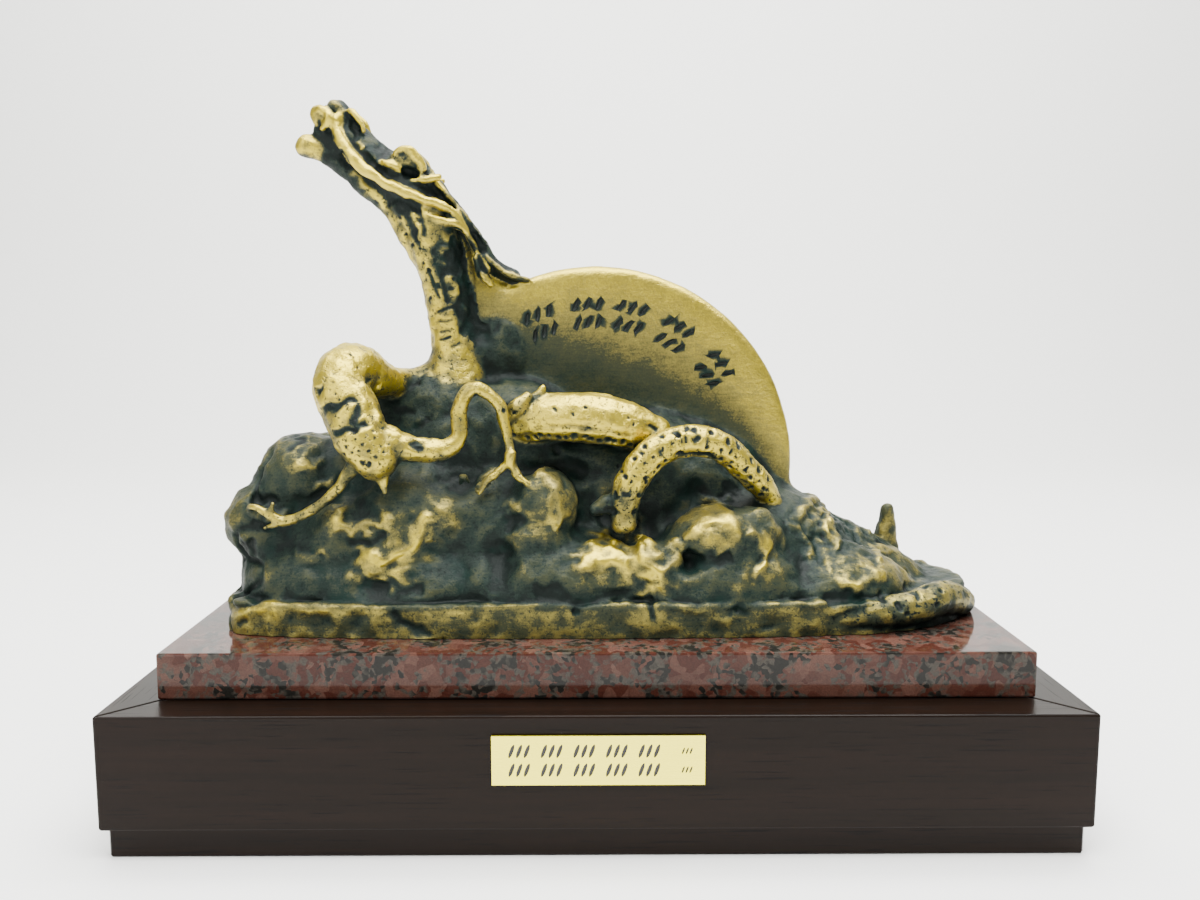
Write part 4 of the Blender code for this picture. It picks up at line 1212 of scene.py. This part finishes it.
class SCULPTURE_OT_casting(bpy.types.Operator):
    """Model the bronze casting with its relief, its rubbed patina and the light and shade painted into it"""

    bl_idname = "sculpture.casting"
    bl_label = "Bronze casting"

    def execute(self, context):
        looks = settings("bronze_casting")
        fineness = FULL_FINENESS
        mesh = model_clay(looks.grain / SHARE * QUICK_GRAIN / fineness)
        skin = Skin(mesh, looks.relief, fineness)
        work_surface(skin)
        # The rubbing map also carries the painted light and shade.
        for name, values in (("rubbed", skin.rub), ("pitted", skin.pitted)):
            attribute = mesh.attributes.new(name, "FLOAT", "POINT")
            attribute.data.foreach_set("value", values.astype(np.float32))
        flatten_underside(mesh)
        mesh.materials.clear()
        mesh.materials.append(cast_bronze())
        share = min(1, looks.triangles / (2 * len(mesh.polygons)))
        thin = evaluated(mesh, DECIMATE={"ratio": share})
        strokes = bmesh.new()
        add_strokes(strokes)
        worked = cut(thin, strokes, patina_in_cuts())
        slab_low, slab_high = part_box("granite_slab")
        middle = (slab_low.y + slab_high.y) / 2
        worked.transform(Matrix.Translation((CAST_SHIFT, middle, slab_high.z + GAP))
                         @ Matrix.Scale(SHARE, 4))
        points = np.clip(read(worked.vertices, "co", 3), *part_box("dragon_casting"))
        worked.vertices.foreach_set("co", points.ravel())
        worked.shade_smooth()
        worked.set_sharp_from_angle(angle=math.radians(SHARP_ANGLE))
        place_piece("bronze_dragon_casting", worked, "dragon_casting")
        return {"FINISHED"}


class SCULPTURE_OT_slab(bpy.types.Operator):
    """Finish the granite slab"""

    bl_idname = "sculpture.slab"
    bl_label = "Granite slab"

    def execute(self, context):
        finish_node("granite_slab", polished_granite())
        return {"FINISHED"}


class SCULPTURE_OT_plinth(bpy.types.Operator):
    """Finish the plinth's four rails and its base board"""

    bl_idname = "sculpture.plinth"
    bl_label = "Wooden plinth"

    def execute(self, context):
        lengthwise = stained_wood("dark_hardwood_lengthwise", (0.03, 1, 1))
        crosswise = stained_wood("dark_hardwood_crosswise", (1, 0.03, 1))
        for side in ("front", "back"):
            finish_node("plinth_rail_" + side, lengthwise)
        for side in ("left", "right"):
            finish_node("plinth_rail_" + side, crosswise)
        finish_node("plinth_base_board", lengthwise)
        return {"FINISHED"}


class SCULPTURE_OT_nameplate(bpy.types.Operator):
    """Make the brass nameplate with its rows of cut strokes"""

    bl_idname = "sculpture.nameplate"
    bl_label = "Brass nameplate"

    def execute(self, context):
        looks = settings("brass_nameplate")
        low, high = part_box("nameplate")
        size = high - low
        centre = (low + high) / 2
        shape = bmesh.new()
        bmesh.ops.create_cube(shape, size=1, matrix=Matrix.LocRotScale(centre, None, size))
        bmesh.ops.bevel(shape, geom=shape.edges[:], offset=looks.edge, affect="EDGES", segments=2,
                        profile=0.5, material=-1)
        mesh = to_mesh("nameplate", shape)
        mesh.materials.append(brushed_brass())
        strokes = bmesh.new()
        for middle, gap, half_length in PLATE_CLUMPS:
            for row in (-1, 1):
                for step in (-1, 0, 1):
                    self.add_stroke(strokes, low, size, middle + gap * step, 0.5 + PLATE_ROW * row,
                                    half_length)
        engraved = cut(mesh, strokes, black_enamel())
        place_piece("engraved_nameplate", engraved, "nameplate")
        return {"FINISHED"}

    def add_stroke(self, shape, low, size, along, up, half_length):
        """One slanted stroke, cut shallow into the plate's face."""
        centre = Vector((low.x + along * size.x, low.y, low.z + up * size.z))
        tilt = Matrix.Rotation(math.radians(PLATE_LEAN), 3, "Y")
        half = (PLATE_STROKE_WIDTH * half_length, PLATE_DEPTH, half_length)
        bmesh.ops.create_icosphere(shape, subdivisions=2, radius=1,
                                   matrix=Matrix.LocRotScale(centre, tilt, half))


class SCULPTURE_OT_stage(bpy.types.Operator):
    """Lay the plain floor, hang the lights and set up the camera"""

    bl_idname = "sculpture.stage"
    bl_label = "Plain stage"

    def execute(self, context):
        looks = settings("plain_stage")
        floor = self.make_floor()
        world = bpy.data.worlds.new("pale_room")
        context.scene.world = world
        world.use_nodes = True
        background = world.node_tree.nodes["Background"]
        background.inputs["Color"].default_value = (*grey(1), 1)
        background.inputs["Strength"].default_value = looks.sky
        for name, place, target, size, power in LIGHTS:
            self.add_light(name, place, target, size, getattr(looks, power))
        lens = bpy.data.cameras.new("photo_camera")
        lens.sensor_width = SENSOR_WIDTH
        lens.lens = CAMERA_LENS
        camera = link("photo_camera", lens)
        camera.location = CAMERA_PLACE
        camera.rotation_euler = Euler((math.radians(90 - CAMERA_DOWN), 0, math.radians(CAMERA_TURN)))
        context.scene.camera = camera
        return {"FINISHED"}

    def make_floor(self):
        """A floor that sweeps up into a back wall, far enough off to show no edge."""
        shape = bmesh.new()
        level = WALL_PLACE - WALL_BEND
        profile = [(-FLOOR_REACH, 0), (level, 0)]
        profile += [(level + WALL_BEND * math.sin(a), WALL_BEND - WALL_BEND * math.cos(a))
                    for a in np.linspace(0, math.pi / 2, 12)[1:]]
        profile.append((WALL_PLACE, FLOOR_REACH))
        points = [shape.verts.new((-FLOOR_REACH, y, z)) for y, z in profile]
        edges = [shape.edges.new(pair) for pair in zip(points, points[1:])]
        swept = bmesh.ops.extrude_edge_only(shape, edges=edges)
        moved = [item for item in swept["geom"] if isinstance(item, bmesh.types.BMVert)]
        bmesh.ops.translate(shape, verts=moved, vec=(2 * FLOOR_REACH, 0, 0))
        bmesh.ops.recalc_face_normals(shape, faces=shape.faces)
        mesh = to_mesh("paper_sweep", shape)
        mesh.shade_smooth()
        mesh.materials.append(matt_paper())
        return link("paper_sweep", mesh)

    def add_light(self, name, place, target, size, power):
        """A rectangular soft light at a place, turned to its target."""
        light = bpy.data.lights.new(name, "AREA")
        light.shape = "RECTANGLE"
        light.size, light.size_y = size
        light.energy = power
        lamp = link(name, light)
        lamp.location = place
        lamp.rotation_euler = (Vector(target) - Vector(place)).to_track_quat("-Z", "Y").to_euler()


class SCULPTURE_PT_panel(bpy.types.Panel):
    """Lists the sculpture's settings and steps"""

    bl_idname = "SCULPTURE_PT_panel"
    bl_label = "Bronze dragon"
    bl_space_type = "VIEW_3D"
    bl_region_type = "UI"
    bl_category = "Sculpture"

    def draw(self, context):
        for name, group, operator in STEPS:
            box = self.layout.box()
            box.label(text=operator.bl_label)
            values = getattr(context.scene, name)
            for key in group.__annotations__:
                box.prop(values, key)
            box.operator(operator.bl_idname)


STEPS = [
    ("bronze_casting", CastingSettings, SCULPTURE_OT_casting),
    ("granite_slab", StoneSettings, SCULPTURE_OT_slab),
    ("wooden_plinth", WoodSettings, SCULPTURE_OT_plinth),
    ("brass_nameplate", PlateSettings, SCULPTURE_OT_nameplate),
    ("plain_stage", StageSettings, SCULPTURE_OT_stage),
]


def register():
    for name, group, operator in STEPS:
        bpy.utils.register_class(group)
        bpy.utils.register_class(operator)
        setattr(bpy.types.Scene, name, PointerProperty(type=group))
    bpy.utils.register_class(SCULPTURE_PT_panel)


def unregister():
    bpy.utils.unregister_class(SCULPTURE_PT_panel)
    for name, group, operator in reversed(STEPS):
        delattr(bpy.types.Scene, name)
        bpy.utils.unregister_class(operator)
        bpy.utils.unregister_class(group)


def main():
    """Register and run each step."""
    register()
    bpy.ops.sculpture.casting()
    bpy.ops.sculpture.slab()
    bpy.ops.sculpture.plinth()
    bpy.ops.sculpture.nameplate()
    bpy.ops.sculpture.stage()


if __name__ == "__main__":
    main()
